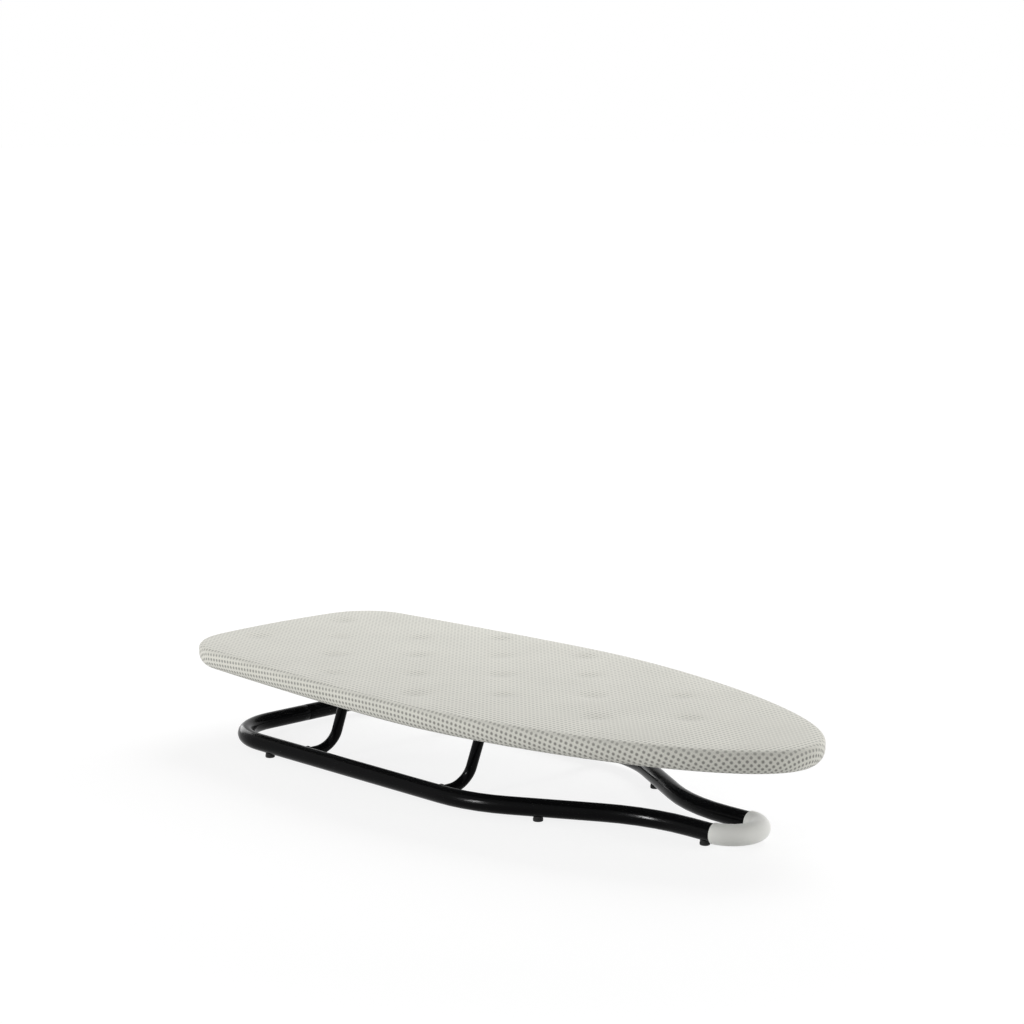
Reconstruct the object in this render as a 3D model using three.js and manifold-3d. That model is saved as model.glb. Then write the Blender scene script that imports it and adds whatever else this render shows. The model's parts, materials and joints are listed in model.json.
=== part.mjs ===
// Tabletop ironing board: a padded, cloth-covered steel board on two tube hoops that fold down
// over a bent-tube base. X runs from the square end (0) to the nose, Y across, Z up from the table.
import * as THREE from 'three';
import { mergeVertices } from 'three/addons/utils/BufferGeometryUtils.js';
import Module from 'manifold-3d';

const wasm = await Module();
wasm.setup();

// All sizes are in millimetres, angles in degrees.
// Gap left between two pieces that touch on the real object
const seat = 0.3;

// Board outline, measured over the cover
const boardLength = 730;
const boardWidth = 300;
const widestAt = 347;
const squareEndWidth = 264;
const squareEndCorner = 62;
const squareEndBow = 4;
// Where the two tangents of the side's long curve meet, as a share of that curve's length
const sideFullness = 0.72;
// Handles of the nose curve, along and across the board
const noseReach = 140;
const noseFullness = 88;

// Cloth cover with its turned-under hem and the elastic sewn into it
const coverThickness = 0.9;
const coverTopEdge = 5;
const coverUnderEdge = 12;
const hemWidth = 14;
const elasticWidth = 5;
const elasticThickness = 1;
const elasticFromHemEdge = 1.5;

// Foam pad: the edge band falls away from the flat middle
const padThickness = 6.4;
const padCrown = 0.5;
const padEdgeBand = 24;

// Vented steel panel on a rolled steel rim
const panelThickness = 0.8;
const panelFromCover = 0.4;
// Round vents in staggered rows, the middle row with a vent this far from the square end
const ventDiameter = 30;
const ventPitch = 120;
const ventRowSpacing = 57;
const ventRowAt = 350;
const ventMargin = 10;
const rimHeight = 12.6;
const rimWall = 0.8;
const rimFlange = 10;
const rimReturn = 2;

// Hat-section cross channels that carry the hoops under the panel
const channelDepth = 10;
const channelWall = 1;
const channelWeb = 42;
const channelLip = 8;

// Bent-tube base
const railTube = 17;
const railWall = 1.2;
const railSpacing = 224;
const endBarAt = 53;
const railCorner = 62.5;
const taperStart = 383;
const taperAngle = 30.3;
const taperFirstBend = 142;
const taperSecondBend = 171;
const loopWidth = 52;
const loopCentreAt = 640;
const seamGap = 0.6;
const plugLength = 60;

// Plastic sleeve over the hanging loop's half turn
const sleeveWall = 0.9;

// Push-in rubber feet
const footHeight = 4;
const footDiameter = 9.5;
const footRounding = 0.6;
const footStem = 4.8;
const footBulb = 6.6;
const footBulbHeight = 3;
const rearFootAt = 132;
const middleFootAlongTaper = 27;
const noseFootAt = 633;

// Folding hoops
const hoopTube = 10.5;
const hoopWall = 1.2;
const hoopBend = 20;
const hoopArmSpacing = 145;
const hoopRise = 65.4;
const hoopLean = 20.5;
const rearHoopAt = 182;
const frontHoopAt = 376;
const hoopEndFromRailCentre = 3;

// Plastic bushes where the hoop ends turn in the rails
const bushWall = 0.7;
const bushCollarWall = 1.6;
const bushCollarLength = 2.4;
const bushEndFromRailCentre = 5;

// Pivot blocks that trap a hoop's top run against a cross channel, with a heel that stops the hoop
const blockWall = 3.6;
const blockEar = 10;
const blockEarThickness = 5;
const blockWidth = 20;
const blockCentre = 40;
const stopDepth = 9;
const stopBack = 15;

// Pan-head screws through the blocks' ears
const screwShank = 3.8;
const screwHead = 6.8;
const screwHeadHeight = 2.2;
const screwTip = 4;

// Facets of round shapes
const tubeSides = 12;
const smallSides = 12;
const ventSides = 16;
const slotSteps = 10;
const pocketSteps = 6;

// Heights worked out from the table upwards
const railZ = footHeight + railTube / 2;
const pivotZ = railZ + hoopRise;
const webZ = pivotZ + hoopTube / 2 + seat;
const channelTop = webZ + channelDepth;
const panelZ = channelTop + seat;
const padZ = panelZ + panelThickness + seat;
const coverInnerTop = padZ + padThickness + seat;
const rimBottom = channelTop - rimHeight;
const hemZ = rimBottom - seat;
const coverBottom = hemZ - coverThickness;
const coverTop = coverInnerTop + coverThickness;
const underCentreZ = coverBottom + coverUnderEdge;
const topCentreZ = coverTop - padCrown - coverTopEdge;

const radians = THREE.MathUtils.degToRad;
const lean = radians(hoopLean);
const hoopLength = hoopRise / Math.cos(lean);
const hoopTopShift = hoopRise * Math.tan(lean);

// Finishes
const finishes = {
  blackTube: { color: 0x121213, roughness: 0.32, metalness: 0.25 },
  whiteSleeve: { color: 0xe4e5e6, roughness: 0.35, metalness: 0 },
  blackRubber: { color: 0x161616, roughness: 0.85, metalness: 0 },
  blackPlastic: { color: 0x1b1b1c, roughness: 0.55, metalness: 0 },
  greySteel: { color: 0x8d9093, roughness: 0.45, metalness: 0.7 },
  zincScrew: { color: 0xb9bcc0, roughness: 0.35, metalness: 0.9 },
  foam: { color: 0xd9d4c6, roughness: 0.95, metalness: 0 },
  cotton: { color: 0xcac6be, roughness: 0.95, metalness: 0 },
  elastic: { color: 0xe9e6df, roughness: 0.9, metalness: 0 },
};

function piece(name, geometry, finish) {
  const mesh = new THREE.Mesh(geometry, new THREE.MeshStandardMaterial(finishes[finish]));
  mesh.name = name;
  return mesh;
}

function assembly(...members) {
  const group = new THREE.Group();
  group.add(...members);
  return group;
}

// Booleans
function toSolid(geometry) {
  const bare = geometry.clone();
  bare.deleteAttribute('normal');
  bare.deleteAttribute('uv');
  const merged = mergeVertices(bare, 1e-4);
  const vertProperties = new Float32Array(merged.attributes.position.array);
  const triVerts = new Uint32Array(merged.index.array);
  return new wasm.Manifold(new wasm.Mesh({ numProp: 3, vertProperties, triVerts }));
}

function fromSolid(solid) {
  const { vertProperties, triVerts } = solid.getMesh();
  const geometry = new THREE.BufferGeometry();
  geometry.setAttribute('position', new THREE.BufferAttribute(vertProperties, 3));
  geometry.setIndex(new THREE.BufferAttribute(triVerts, 1));
  geometry.computeVertexNormals();
  return geometry;
}

function cut(geometry, tools) {
  return fromSolid(tools.reduce((solid, tool) => solid.subtract(toSolid(tool)), toSolid(geometry)));
}

function join(geometry, others) {
  return fromSolid(others.reduce((solid, other) => solid.add(toSolid(other)), toSolid(geometry)));
}

// A bent tube's centreline, drawn on a plane by straights and bends as a tube bender would make it.
// A ring of the tube stands at every point of the drawing.
class TubeRoute extends THREE.Curve {
  constructor(x, y, headingDegrees, toSpace) {
    super();
    this.heading = radians(headingDegrees);
    this.toSpace = toSpace;
    this.stations = [{ x, y, heading: this.heading }];
  }

  straight(length) {
    const { x, y } = this.stations.at(-1);
    const end = { x: x + length * Math.cos(this.heading), y: y + length * Math.sin(this.heading) };
    this.stations.push({ ...end, heading: this.heading });
    return this;
  }

  bend(radius, degrees, steps) {
    const { x, y } = this.stations.at(-1);
    const side = Math.sign(degrees);
    const centreX = x - side * radius * Math.sin(this.heading);
    const centreY = y + side * radius * Math.cos(this.heading);
    const first = this.heading;
    for (let step = 1; step <= steps; step += 1) {
      this.heading = first + (radians(degrees) * step) / steps;
      this.stations.push({
        x: centreX + side * radius * Math.sin(this.heading),
        y: centreY - side * radius * Math.cos(this.heading),
        heading: this.heading,
      });
    }
    return this;
  }

  get steps() {
    return this.stations.length - 1;
  }

  stationAt(t) {
    return this.stations[Math.round(t * this.steps)];
  }

  getUtoTmapping(u) {
    return u;
  }

  getPoint(t) {
    const { x, y } = this.stationAt(t);
    return this.toSpace(x, y);
  }

  getTangent(t) {
    const { x, y, heading } = this.stationAt(t);
    const ahead = this.toSpace(x + Math.cos(heading), y + Math.sin(heading));
    return ahead.sub(this.toSpace(x, y)).normalize();
  }
}

function roundOutline(radius, sides, PathClass) {
  const points = [];
  for (let side = 0; side < sides; side += 1) {
    const angle = (2 * Math.PI * side) / sides;
    points.push(new THREE.Vector2(radius * Math.cos(angle), radius * Math.sin(angle)));
  }
  return new PathClass(points);
}

function alongRoute(route, outerRadius, innerRadius = 0) {
  const section = roundOutline(outerRadius, tubeSides, THREE.Shape);
  if (innerRadius > 0) {
    section.holes.push(roundOutline(innerRadius, tubeSides, THREE.Path));
  }
  return new THREE.ExtrudeGeometry(section, { steps: route.steps, extrudePath: route });
}

// Turned shapes: a profile of [radius, height] pairs from the axis back to the axis
function turned(profile, sides = smallSides) {
  const points = profile.map(([radius, height]) => new THREE.Vector2(radius, height));
  return new THREE.LatheGeometry(points, sides).rotateX(Math.PI / 2);
}

function rod(radius, low, high) {
  return turned([[0, low], [radius, low], [radius, high], [0, high]]);
}

// An outline on the XZ plane given as [x, z] pairs, carried along Y
function acrossY(points, fromY, toY) {
  const shape = new THREE.Shape(points.map(([x, z]) => new THREE.Vector2(x, z)));
  const geometry = new THREE.ExtrudeGeometry(shape, { depth: toY - fromY, bevelEnabled: false });
  return geometry.rotateX(Math.PI / 2).translate(0, toY, 0);
}

// Base
const onRails = (x, y) => new THREE.Vector3(x, y, railZ);
const railRadius = railTube / 2;
const railBore = railRadius - railWall;
const halfRails = railSpacing / 2;
const halfLoop = loopWidth / 2;
const taper = radians(taperAngle);
const taperDrop = (taperFirstBend + taperSecondBend) * (1 - Math.cos(taper));
const taperRun = (halfRails - halfLoop - taperDrop) / Math.sin(taper);
const taperEnd = taperStart + (taperFirstBend + taperSecondBend) * Math.sin(taper) + taperRun * Math.cos(taper);

function baseRoute() {
  const barHalf = halfRails - railCorner - seamGap / 2;
  const sideRun = taperStart - endBarAt - railCorner;
  const loopRun = loopCentreAt - taperEnd;
  return new TubeRoute(endBarAt, -seamGap / 2, -90, onRails)
    .straight(barHalf).bend(railCorner, 90, 6)
    .straight(sideRun).bend(taperFirstBend, taperAngle, 3)
    .straight(taperRun).bend(taperSecondBend, -taperAngle, 3)
    .straight(loopRun).bend(halfLoop, 180, 10)
    .straight(loopRun).bend(taperSecondBend, -taperAngle, 3)
    .straight(taperRun).bend(taperFirstBend, taperAngle, 3)
    .straight(sideRun).bend(railCorner, 90, 6)
    .straight(barHalf);
}

// Feet stand under straight runs: their place on the +Y side and the tube's heading there
const footPlaces = {
  rear: { x: rearFootAt, y: halfRails, heading: 0 },
  middle: {
    x: taperStart + taperFirstBend * Math.sin(taper) + middleFootAlongTaper * Math.cos(taper),
    y: halfRails - taperFirstBend * (1 - Math.cos(taper)) - middleFootAlongTaper * Math.sin(taper),
    heading: -taperAngle,
  },
  nose: { x: noseFootAt, y: halfLoop, heading: 0 },
};
const sides = { near: -1, far: 1 };

function railCutter(x, y, heading, radius) {
  const reach = 2 * railTube;
  const startX = x - reach * Math.cos(radians(heading));
  const startY = y - reach * Math.sin(radians(heading));
  return alongRoute(new TubeRoute(startX, startY, heading, onRails).straight(2 * reach), radius);
}

function footGeometry({ x, y, heading }) {
  const radius = footDiameter / 2;
  const saddleTop = footHeight + railRadius;
  const head = turned([
    [0, 0], [radius - footRounding, 0], [radius, footRounding], [radius, saddleTop], [0, saddleTop],
  ]).translate(x, y, 0);
  const boreLift = (footBulb / 2) * Math.tan(Math.PI / tubeSides);
  const bulbZ = railZ - railBore + boreLift + seat;
  const stem = turned([
    [0, footHeight / 2], [footStem / 2, footHeight / 2], [footStem / 2, bulbZ],
    [footBulb / 2, bulbZ], [footStem / 2, bulbZ + footBulbHeight], [0, bulbZ + footBulbHeight],
  ]).translate(x, y, 0);
  return join(cut(head, [railCutter(x, y, heading, railRadius + seat)]), [stem]);
}

// Hoops: the hoop's own plane leans towards the nose
function hoopPlane(lowerPivotX) {
  return (across, up) => new THREE.Vector3(lowerPivotX + up * Math.sin(lean), across, railZ + up * Math.cos(lean));
}

const hoopRadius = hoopTube / 2;
const halfArms = hoopArmSpacing / 2;

function hoopGeometry(lowerPivotX) {
  const endHalf = halfRails - hoopEndFromRailCentre;
  const endRun = endHalf - halfArms - hoopBend;
  const armRun = hoopLength - 2 * hoopBend;
  const topRun = hoopArmSpacing - 2 * hoopBend;
  const route = new TubeRoute(-endHalf, 0, 0, hoopPlane(lowerPivotX))
    .straight(endRun).bend(hoopBend, 90, 4)
    .straight(armRun).bend(hoopBend, -90, 4)
    .straight(topRun).bend(hoopBend, -90, 4)
    .straight(armRun).bend(hoopBend, 90, 4)
    .straight(endRun);
  return alongRoute(route, hoopRadius, hoopRadius - hoopWall);
}

// Bushes: a barrel through the rail's inner wall and a collar shaped to the rail
const bushBore = (hoopRadius + seat) / Math.cos(Math.PI / smallSides);
const bushBarrel = bushBore + bushWall;
const railHole = bushBarrel + seat;

function acrossRod(radius, x, fromY, toY) {
  return rod(radius, 0, toY - fromY).rotateX(-Math.PI / 2).translate(x, fromY, railZ);
}

function bushGeometry(x, side) {
  const collarStart = halfRails - railRadius - bushCollarLength;
  const barrelEnd = halfRails - bushEndFromRailCentre;
  const collar = acrossRod(bushBore + bushCollarWall, x, collarStart, halfRails);
  const shapedCollar = cut(collar, [railCutter(x, halfRails, 0, railRadius + seat)]);
  const barrel = acrossRod(bushBarrel, x, collarStart, barrelEnd);
  const bore = acrossRod(bushBore, x, collarStart - railTube, halfRails + railTube);
  const bush = cut(join(shapedCollar, [barrel]), [bore]);
  return side > 0 ? bush : bush.rotateZ(Math.PI).translate(2 * x, 0, 0);
}

function buildBase() {
  const group = new THREE.Group();
  const holes = [];
  for (const [sideName, side] of Object.entries(sides)) {
    for (const [place, { x, y, heading }] of Object.entries(footPlaces)) {
      const spot = { x, y: side * y, heading: side * heading };
      group.add(piece(`foot_${place}_${sideName}`, footGeometry(spot), 'blackRubber'));
      holes.push(rod(footStem / 2 + seat, 0, railZ).translate(spot.x, spot.y, 0));
    }
    for (const [hoop, x] of Object.entries({ rear: rearHoopAt, front: frontHoopAt })) {
      group.add(piece(`pivot_bush_${hoop}_${sideName}`, bushGeometry(x, side), 'blackPlastic'));
      const hole = acrossRod(railHole, x, 0, halfRails);
      holes.push(side > 0 ? hole : hole.rotateZ(Math.PI).translate(2 * x, 0, 0));
    }
  }
  const tube = cut(alongRoute(baseRoute(), railRadius, railBore), holes);
  group.add(piece('base_tube', tube, 'blackTube'));

  const plugRoute = new TubeRoute(endBarAt, -plugLength / 2, 90, onRails).straight(plugLength);
  group.add(piece('joint_plug', alongRoute(plugRoute, railBore - seat), 'blackPlastic'));

  const sleeveRoute = new TubeRoute(loopCentreAt, -halfLoop, 0, onRails).bend(halfLoop, 180, 10);
  const sleeveBore = railRadius + seat;
  group.add(piece('loop_sleeve', alongRoute(sleeveRoute, sleeveBore + sleeveWall, sleeveBore), 'whiteSleeve'));
  return group;
}

// Board outline: half of it from the middle of the square end round to the nose
function outlineCurves() {
  const half = boardWidth / 2;
  const cornerY = squareEndWidth / 2 - squareEndCorner;
  const bowAngle = Math.atan((2 * squareEndBow) / cornerY);
  const bowEndY = cornerY + squareEndCorner * Math.sin(bowAngle);
  const bowEndX = (bowEndY / 2) * Math.tan(bowAngle);
  const cornerX = bowEndX + squareEndCorner * Math.cos(bowAngle);
  const rise = half - squareEndWidth / 2;
  const sideAngle = Math.atan(rise / (sideFullness * (widestAt - cornerX)));
  const sideStart = new THREE.Vector2(
    cornerX - squareEndCorner * Math.sin(sideAngle),
    cornerY + squareEndCorner * Math.cos(sideAngle),
  );
  const sideTurn = sideStart.x + (half - sideStart.y) / Math.tan(sideAngle);
  const widest = new THREE.Vector2(widestAt, half);
  const noseTip = new THREE.Vector2(boardLength, 0);
  return [
    {
      curve: new THREE.QuadraticBezierCurve(
        new THREE.Vector2(0, 0), new THREE.Vector2(0, bowEndY / 2), new THREE.Vector2(bowEndX, bowEndY)),
      steps: 2,
    },
    {
      curve: new THREE.EllipseCurve(
        cornerX, cornerY, squareEndCorner, squareEndCorner, Math.PI - bowAngle, Math.PI / 2 + sideAngle, true),
      steps: 7,
    },
    { curve: new THREE.QuadraticBezierCurve(sideStart, new THREE.Vector2(sideTurn, half), widest), steps: 4 },
    {
      curve: new THREE.CubicBezierCurve(
        widest, new THREE.Vector2(widestAt + noseReach, half), new THREE.Vector2(boardLength, noseFullness), noseTip),
      steps: 12,
    },
  ];
}

// Points of the outline with the direction that leads out of the board, on the +Y side
function outlineHalf() {
  const half = [];
  for (const { curve, steps } of outlineCurves()) {
    for (let step = half.length ? 1 : 0; step <= steps; step += 1) {
      const point = curve.getPoint(step / steps);
      const tangent = curve.getTangent(step / steps);
      half.push({ x: point.x, y: point.y, outX: -tangent.y, outY: tangent.x });
    }
  }
  return half;
}

const halfOutline = outlineHalf();

// The whole outline, seen from above against the clock from the nose, drawn in by an inset
function outlinePoints(inset) {
  const upper = halfOutline.map(({ x, y, outX, outY }) => new THREE.Vector2(x - inset * outX, y - inset * outY));
  upper[0].y = 0;
  upper.at(-1).y = 0;
  const lower = upper.slice(1, -1).map(({ x, y }) => new THREE.Vector2(x, -y));
  return [...upper.reverse(), ...lower];
}

function halfWidthAt(x, inset) {
  const points = outlinePoints(inset);
  for (let index = 0; index + 1 < points.length; index += 1) {
    const [ahead, behind] = [points[index], points[index + 1]];
    if (behind.x <= x && x <= ahead.x && behind.y >= 0 && ahead.y >= 0) {
      const share = (x - behind.x) / (ahead.x - behind.x);
      return behind.y + share * (ahead.y - behind.y);
    }
  }
  return 0;
}

// A section of [inset, height] pairs carried round the outline: closed on itself, or capped at both ends
function roundOutlineLoft(section, closed) {
  const rings = section.map(([inset, height]) => ({ points: outlinePoints(inset), height }));
  const count = rings[0].points.length;
  const positions = rings.flatMap(({ points, height }) => points.flatMap(({ x, y }) => [x, y, height]));
  const triangles = [];
  const strips = closed ? rings.length : rings.length - 1;
  for (let ring = 0; ring < strips; ring += 1) {
    const low = ring * count;
    const high = ((ring + 1) % rings.length) * count;
    for (let index = 0; index < count; index += 1) {
      const next = (index + 1) % count;
      triangles.push(low + index, low + next, high + next, low + index, high + next, high + index);
    }
  }
  if (!closed) {
    const last = (rings.length - 1) * count;
    for (const [a, b, c] of THREE.ShapeUtils.triangulateShape(rings[0].points, [])) {
      triangles.push(c, b, a);
    }
    for (const [a, b, c] of THREE.ShapeUtils.triangulateShape(rings.at(-1).points, [])) {
      triangles.push(last + a, last + b, last + c);
    }
  }
  const geometry = new THREE.BufferGeometry();
  geometry.setAttribute('position', new THREE.Float32BufferAttribute(positions, 3));
  geometry.setIndex(triangles);
  geometry.computeVertexNormals();
  return geometry;
}

// Quarter round on a section, from one angle to another about a centre
function quarter(centreInset, centreZ, radius, fromDegrees, toDegrees, steps) {
  const points = [];
  for (let step = 0; step <= steps; step += 1) {
    const angle = radians(fromDegrees + ((toDegrees - fromDegrees) * step) / steps);
    points.push([centreInset - radius * Math.cos(angle), centreZ + radius * Math.sin(angle)]);
  }
  return points;
}

const hemInset = coverUnderEdge + hemWidth;

function coverGeometry() {
  const inner = coverThickness;
  return roundOutlineLoft([
    [padEdgeBand, coverInnerTop],
    ...quarter(coverTopEdge, topCentreZ, coverTopEdge - inner, 90, 0, 3),
    ...quarter(coverUnderEdge, underCentreZ, coverUnderEdge - inner, 0, -90, 4),
    [hemInset, hemZ],
    [hemInset, coverBottom],
    ...quarter(coverUnderEdge, underCentreZ, coverUnderEdge, -90, 0, 4),
    ...quarter(coverTopEdge, topCentreZ, coverTopEdge, 0, 90, 3),
    [padEdgeBand, coverTop],
  ], false);
}

const skin = coverThickness + seat;

function padGeometry() {
  return roundOutlineLoft([
    [skin + padThickness / 8, padZ],
    ...quarter(coverTopEdge, topCentreZ, coverTopEdge - skin, 0, 90, 3),
    [padEdgeBand, padZ + padThickness],
  ], false);
}

function rimGeometry() {
  const outer = coverUnderEdge - skin;
  const returnEdge = coverUnderEdge + rimReturn;
  const flangeEdge = skin + rimFlange;
  return roundOutlineLoft([
    [returnEdge, rimBottom],
    ...quarter(coverUnderEdge, underCentreZ, outer, -90, 0, 3),
    [skin, channelTop],
    [flangeEdge, channelTop],
    [flangeEdge, channelTop - rimWall],
    [skin + rimWall, channelTop - rimWall],
    ...quarter(coverUnderEdge, underCentreZ, outer - rimWall, 0, -90, 3),
    [returnEdge, rimBottom + rimWall],
  ], true);
}

function elasticGeometry() {
  const innerEdge = hemInset - elasticFromHemEdge;
  const outerEdge = innerEdge - elasticWidth;
  const low = hemZ + seat;
  const high = low + elasticThickness;
  return roundOutlineLoft([[innerEdge, low], [outerEdge, low], [outerEdge, high], [innerEdge, high]], true);
}

// Panel with staggered rows of round vents
function insidePolygon(point, polygon) {
  return polygon.every((start, index) => {
    const end = polygon[(index + 1) % polygon.length];
    return (end.x - start.x) * (point.y - start.y) - (end.y - start.y) * (point.x - start.x) > 0;
  });
}

function panelGeometry() {
  const edge = skin + panelFromCover;
  const shape = new THREE.Shape(outlinePoints(edge));
  const field = outlinePoints(edge + ventMargin);
  const columns = Math.ceil(boardLength / ventPitch);
  const rows = Math.ceil(boardWidth / ventRowSpacing);
  for (let row = -rows; row <= rows; row += 1) {
    const shift = row % 2 === 0 ? 0 : ventPitch / 2;
    for (let column = -columns; column <= columns; column += 1) {
      const centre = new THREE.Vector2(ventRowAt + shift + column * ventPitch, row * ventRowSpacing);
      const rim = roundOutline(ventDiameter / 2, ventSides, THREE.Path).getPoints().map((point) => point.add(centre));
      if (rim.every((point) => insidePolygon(point, field))) {
        shape.holes.push(new THREE.Path(rim));
      }
    }
  }
  return new THREE.ExtrudeGeometry(shape, { depth: panelThickness, bevelEnabled: false }).translate(0, 0, panelZ);
}

// Cross channel over a hoop's top run, from rim flange to rim flange
const slotRadius = hoopRadius + seat;
const blockRadius = slotRadius + blockWall;
const screwOffset = blockRadius + blockEar / 2;
const blockTop = webZ - seat;
const earBottom = blockTop - blockEarThickness;
const screwHole = screwShank / 2 + seat;

function screwPlaces(pivotX) {
  const places = {};
  for (const [sideName, side] of Object.entries(sides)) {
    for (const [endName, end] of Object.entries({ back: -1, fore: 1 })) {
      places[`${sideName}_${endName}`] = { x: pivotX + end * screwOffset, y: side * blockCentre };
    }
  }
  return places;
}

function channelGeometry(pivotX) {
  const webHalf = channelWeb / 2;
  const lipHalf = webHalf + channelLip;
  const rimInset = skin + rimFlange + seat;
  const reach = Math.min(halfWidthAt(pivotX - lipHalf, rimInset), halfWidthAt(pivotX + lipHalf, rimInset));
  const lipZ = channelTop - channelWall;
  const innerHalf = webHalf - channelWall;
  const section = [
    [-webHalf, webZ], [webHalf, webZ], [webHalf, lipZ], [lipHalf, lipZ], [lipHalf, channelTop],
    [innerHalf, channelTop], [innerHalf, webZ + channelWall],
    [-innerHalf, webZ + channelWall], [-innerHalf, channelTop],
    [-lipHalf, channelTop], [-lipHalf, lipZ], [-webHalf, lipZ],
  ].map(([x, z]) => [pivotX + x, z]);
  const holes = Object.values(screwPlaces(pivotX)).map(
    ({ x, y }) => rod(screwHole, pivotZ, channelTop).translate(x, y, 0));
  return cut(acrossY(section, -reach, reach), holes);
}

// Pivot block: ears, a U-shaped slot for the hoop and the stop heel behind the hoop's shoulder
function slotArc(radius, steps, fromDegrees, toDegrees) {
  const points = [];
  for (let step = 0; step <= steps; step += 1) {
    const angle = radians(fromDegrees + ((toDegrees - fromDegrees) * step) / steps);
    points.push([radius * Math.cos(angle), pivotZ + radius * Math.sin(angle)]);
  }
  return points;
}

function blockGeometry(pivotX, side) {
  const slot = slotRadius / Math.cos(Math.PI / (2 * slotSteps));
  const earEnd = screwOffset + blockEar / 2;
  const rimAngle = THREE.MathUtils.radToDeg(Math.asin((earBottom - pivotZ) / blockRadius));
  const saddle = [
    [-earEnd, blockTop], [-earEnd, earBottom],
    ...slotArc(blockRadius, pocketSteps, -180 - rimAngle, rimAngle),
    [earEnd, earBottom], [earEnd, blockTop], [slot, blockTop],
    ...slotArc(slot, slotSteps, 0, -180),
    [-slot, blockTop],
  ].map(([x, z]) => [pivotX + x, z]);
  const faceAt = (z) => pivotX + ((z - pivotZ) * Math.sin(lean) - slotRadius) / Math.cos(lean);
  const stopZ = pivotZ - stopDepth;
  const heel = [
    [pivotX - stopBack, blockTop], [pivotX - stopBack, stopZ], [faceAt(stopZ), stopZ], [faceAt(blockTop), blockTop],
  ];
  const inner = blockCentre - blockWidth / 2;
  const outer = blockCentre + blockWidth / 2;
  const heelEnd = halfArms + hoopRadius;
  const overlap = blockWidth / 4;
  const earHeel = heel.map(([x, z]) => [Math.min(x, pivotX - blockRadius), Math.max(z, earBottom)]);
  const joined = join(acrossY(saddle, inner, outer), [
    acrossY(earHeel, outer - overlap, heelEnd),
    acrossY(heel, outer, heelEnd),
  ]);
  const holes = Object.values(screwPlaces(pivotX)).map(
    ({ x, y }) => rod(screwHole, pivotZ - blockRadius, channelTop).translate(x, Math.abs(y), 0));
  const block = cut(joined, holes);
  return side > 0 ? block : mirroredAcross(block);
}

// Mirror image in the board's middle plane, with its faces turned the right way again
function mirroredAcross(geometry) {
  const mirrored = geometry.clone().scale(1, -1, 1);
  const index = mirrored.index.array;
  for (let corner = 0; corner < index.length; corner += 3) {
    [index[corner + 1], index[corner + 2]] = [index[corner + 2], index[corner + 1]];
  }
  mirrored.computeVertexNormals();
  return mirrored;
}

function screwGeometry() {
  const headTop = earBottom - seat;
  const headBottom = headTop - screwHeadHeight;
  const tip = webZ + channelWall + screwTip;
  return turned([
    [0, headBottom], [screwHead / 2 - screwHeadHeight / 2, headBottom], [screwHead / 2, headTop - screwHeadHeight / 2],
    [screwHead / 2, headTop], [screwShank / 2, headTop], [screwShank / 2, tip - screwShank / 2], [0, tip],
  ], 10);
}

function buildBoard() {
  const group = assembly(
    piece('steel_panel', panelGeometry(), 'greySteel'),
    piece('rolled_rim', rimGeometry(), 'greySteel'),
    piece('foam_pad', padGeometry(), 'foam'),
    piece('cloth_cover', coverGeometry(), 'cotton'),
    piece('hem_elastic', elasticGeometry(), 'elastic'),
  );
  for (const [hoop, lowerPivotX] of Object.entries({ rear: rearHoopAt, front: frontHoopAt })) {
    const pivotX = lowerPivotX + hoopTopShift;
    group.add(piece(`cross_channel_${hoop}`, channelGeometry(pivotX), 'greySteel'));
    for (const [sideName, side] of Object.entries(sides)) {
      group.add(piece(`pivot_block_${hoop}_${sideName}`, blockGeometry(pivotX, side), 'blackPlastic'));
    }
    for (const [place, { x, y }] of Object.entries(screwPlaces(pivotX))) {
      const screw = piece(`screw_${hoop}_${place}`, screwGeometry(), 'zincScrew');
      screw.position.set(x, y, 0);
      group.add(screw);
    }
  }
  return group;
}

const ironingBoard = assembly(
  buildBase(),
  piece('rear_hoop', hoopGeometry(rearHoopAt), 'blackTube'),
  piece('front_hoop', hoopGeometry(frontHoopAt), 'blackTube'),
  buildBoard(),
);
ironingBoard.name = 'tabletop_ironing_board';
ironingBoard.position.x = -boardLength / 2;

export default ironingBoard;
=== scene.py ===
"""Looks of a tabletop ironing board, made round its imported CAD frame.

The file is laid out as an add-on and run as a script. Each operator models one piece or one group of
like pieces.
"""

import json
import math

import bmesh
import bpy
import numpy as np
from bpy.props import FloatProperty, FloatVectorProperty, PointerProperty
from mathutils import Matrix, Vector, noise
from mathutils.geometry import delaunay_2d_cdt

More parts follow.
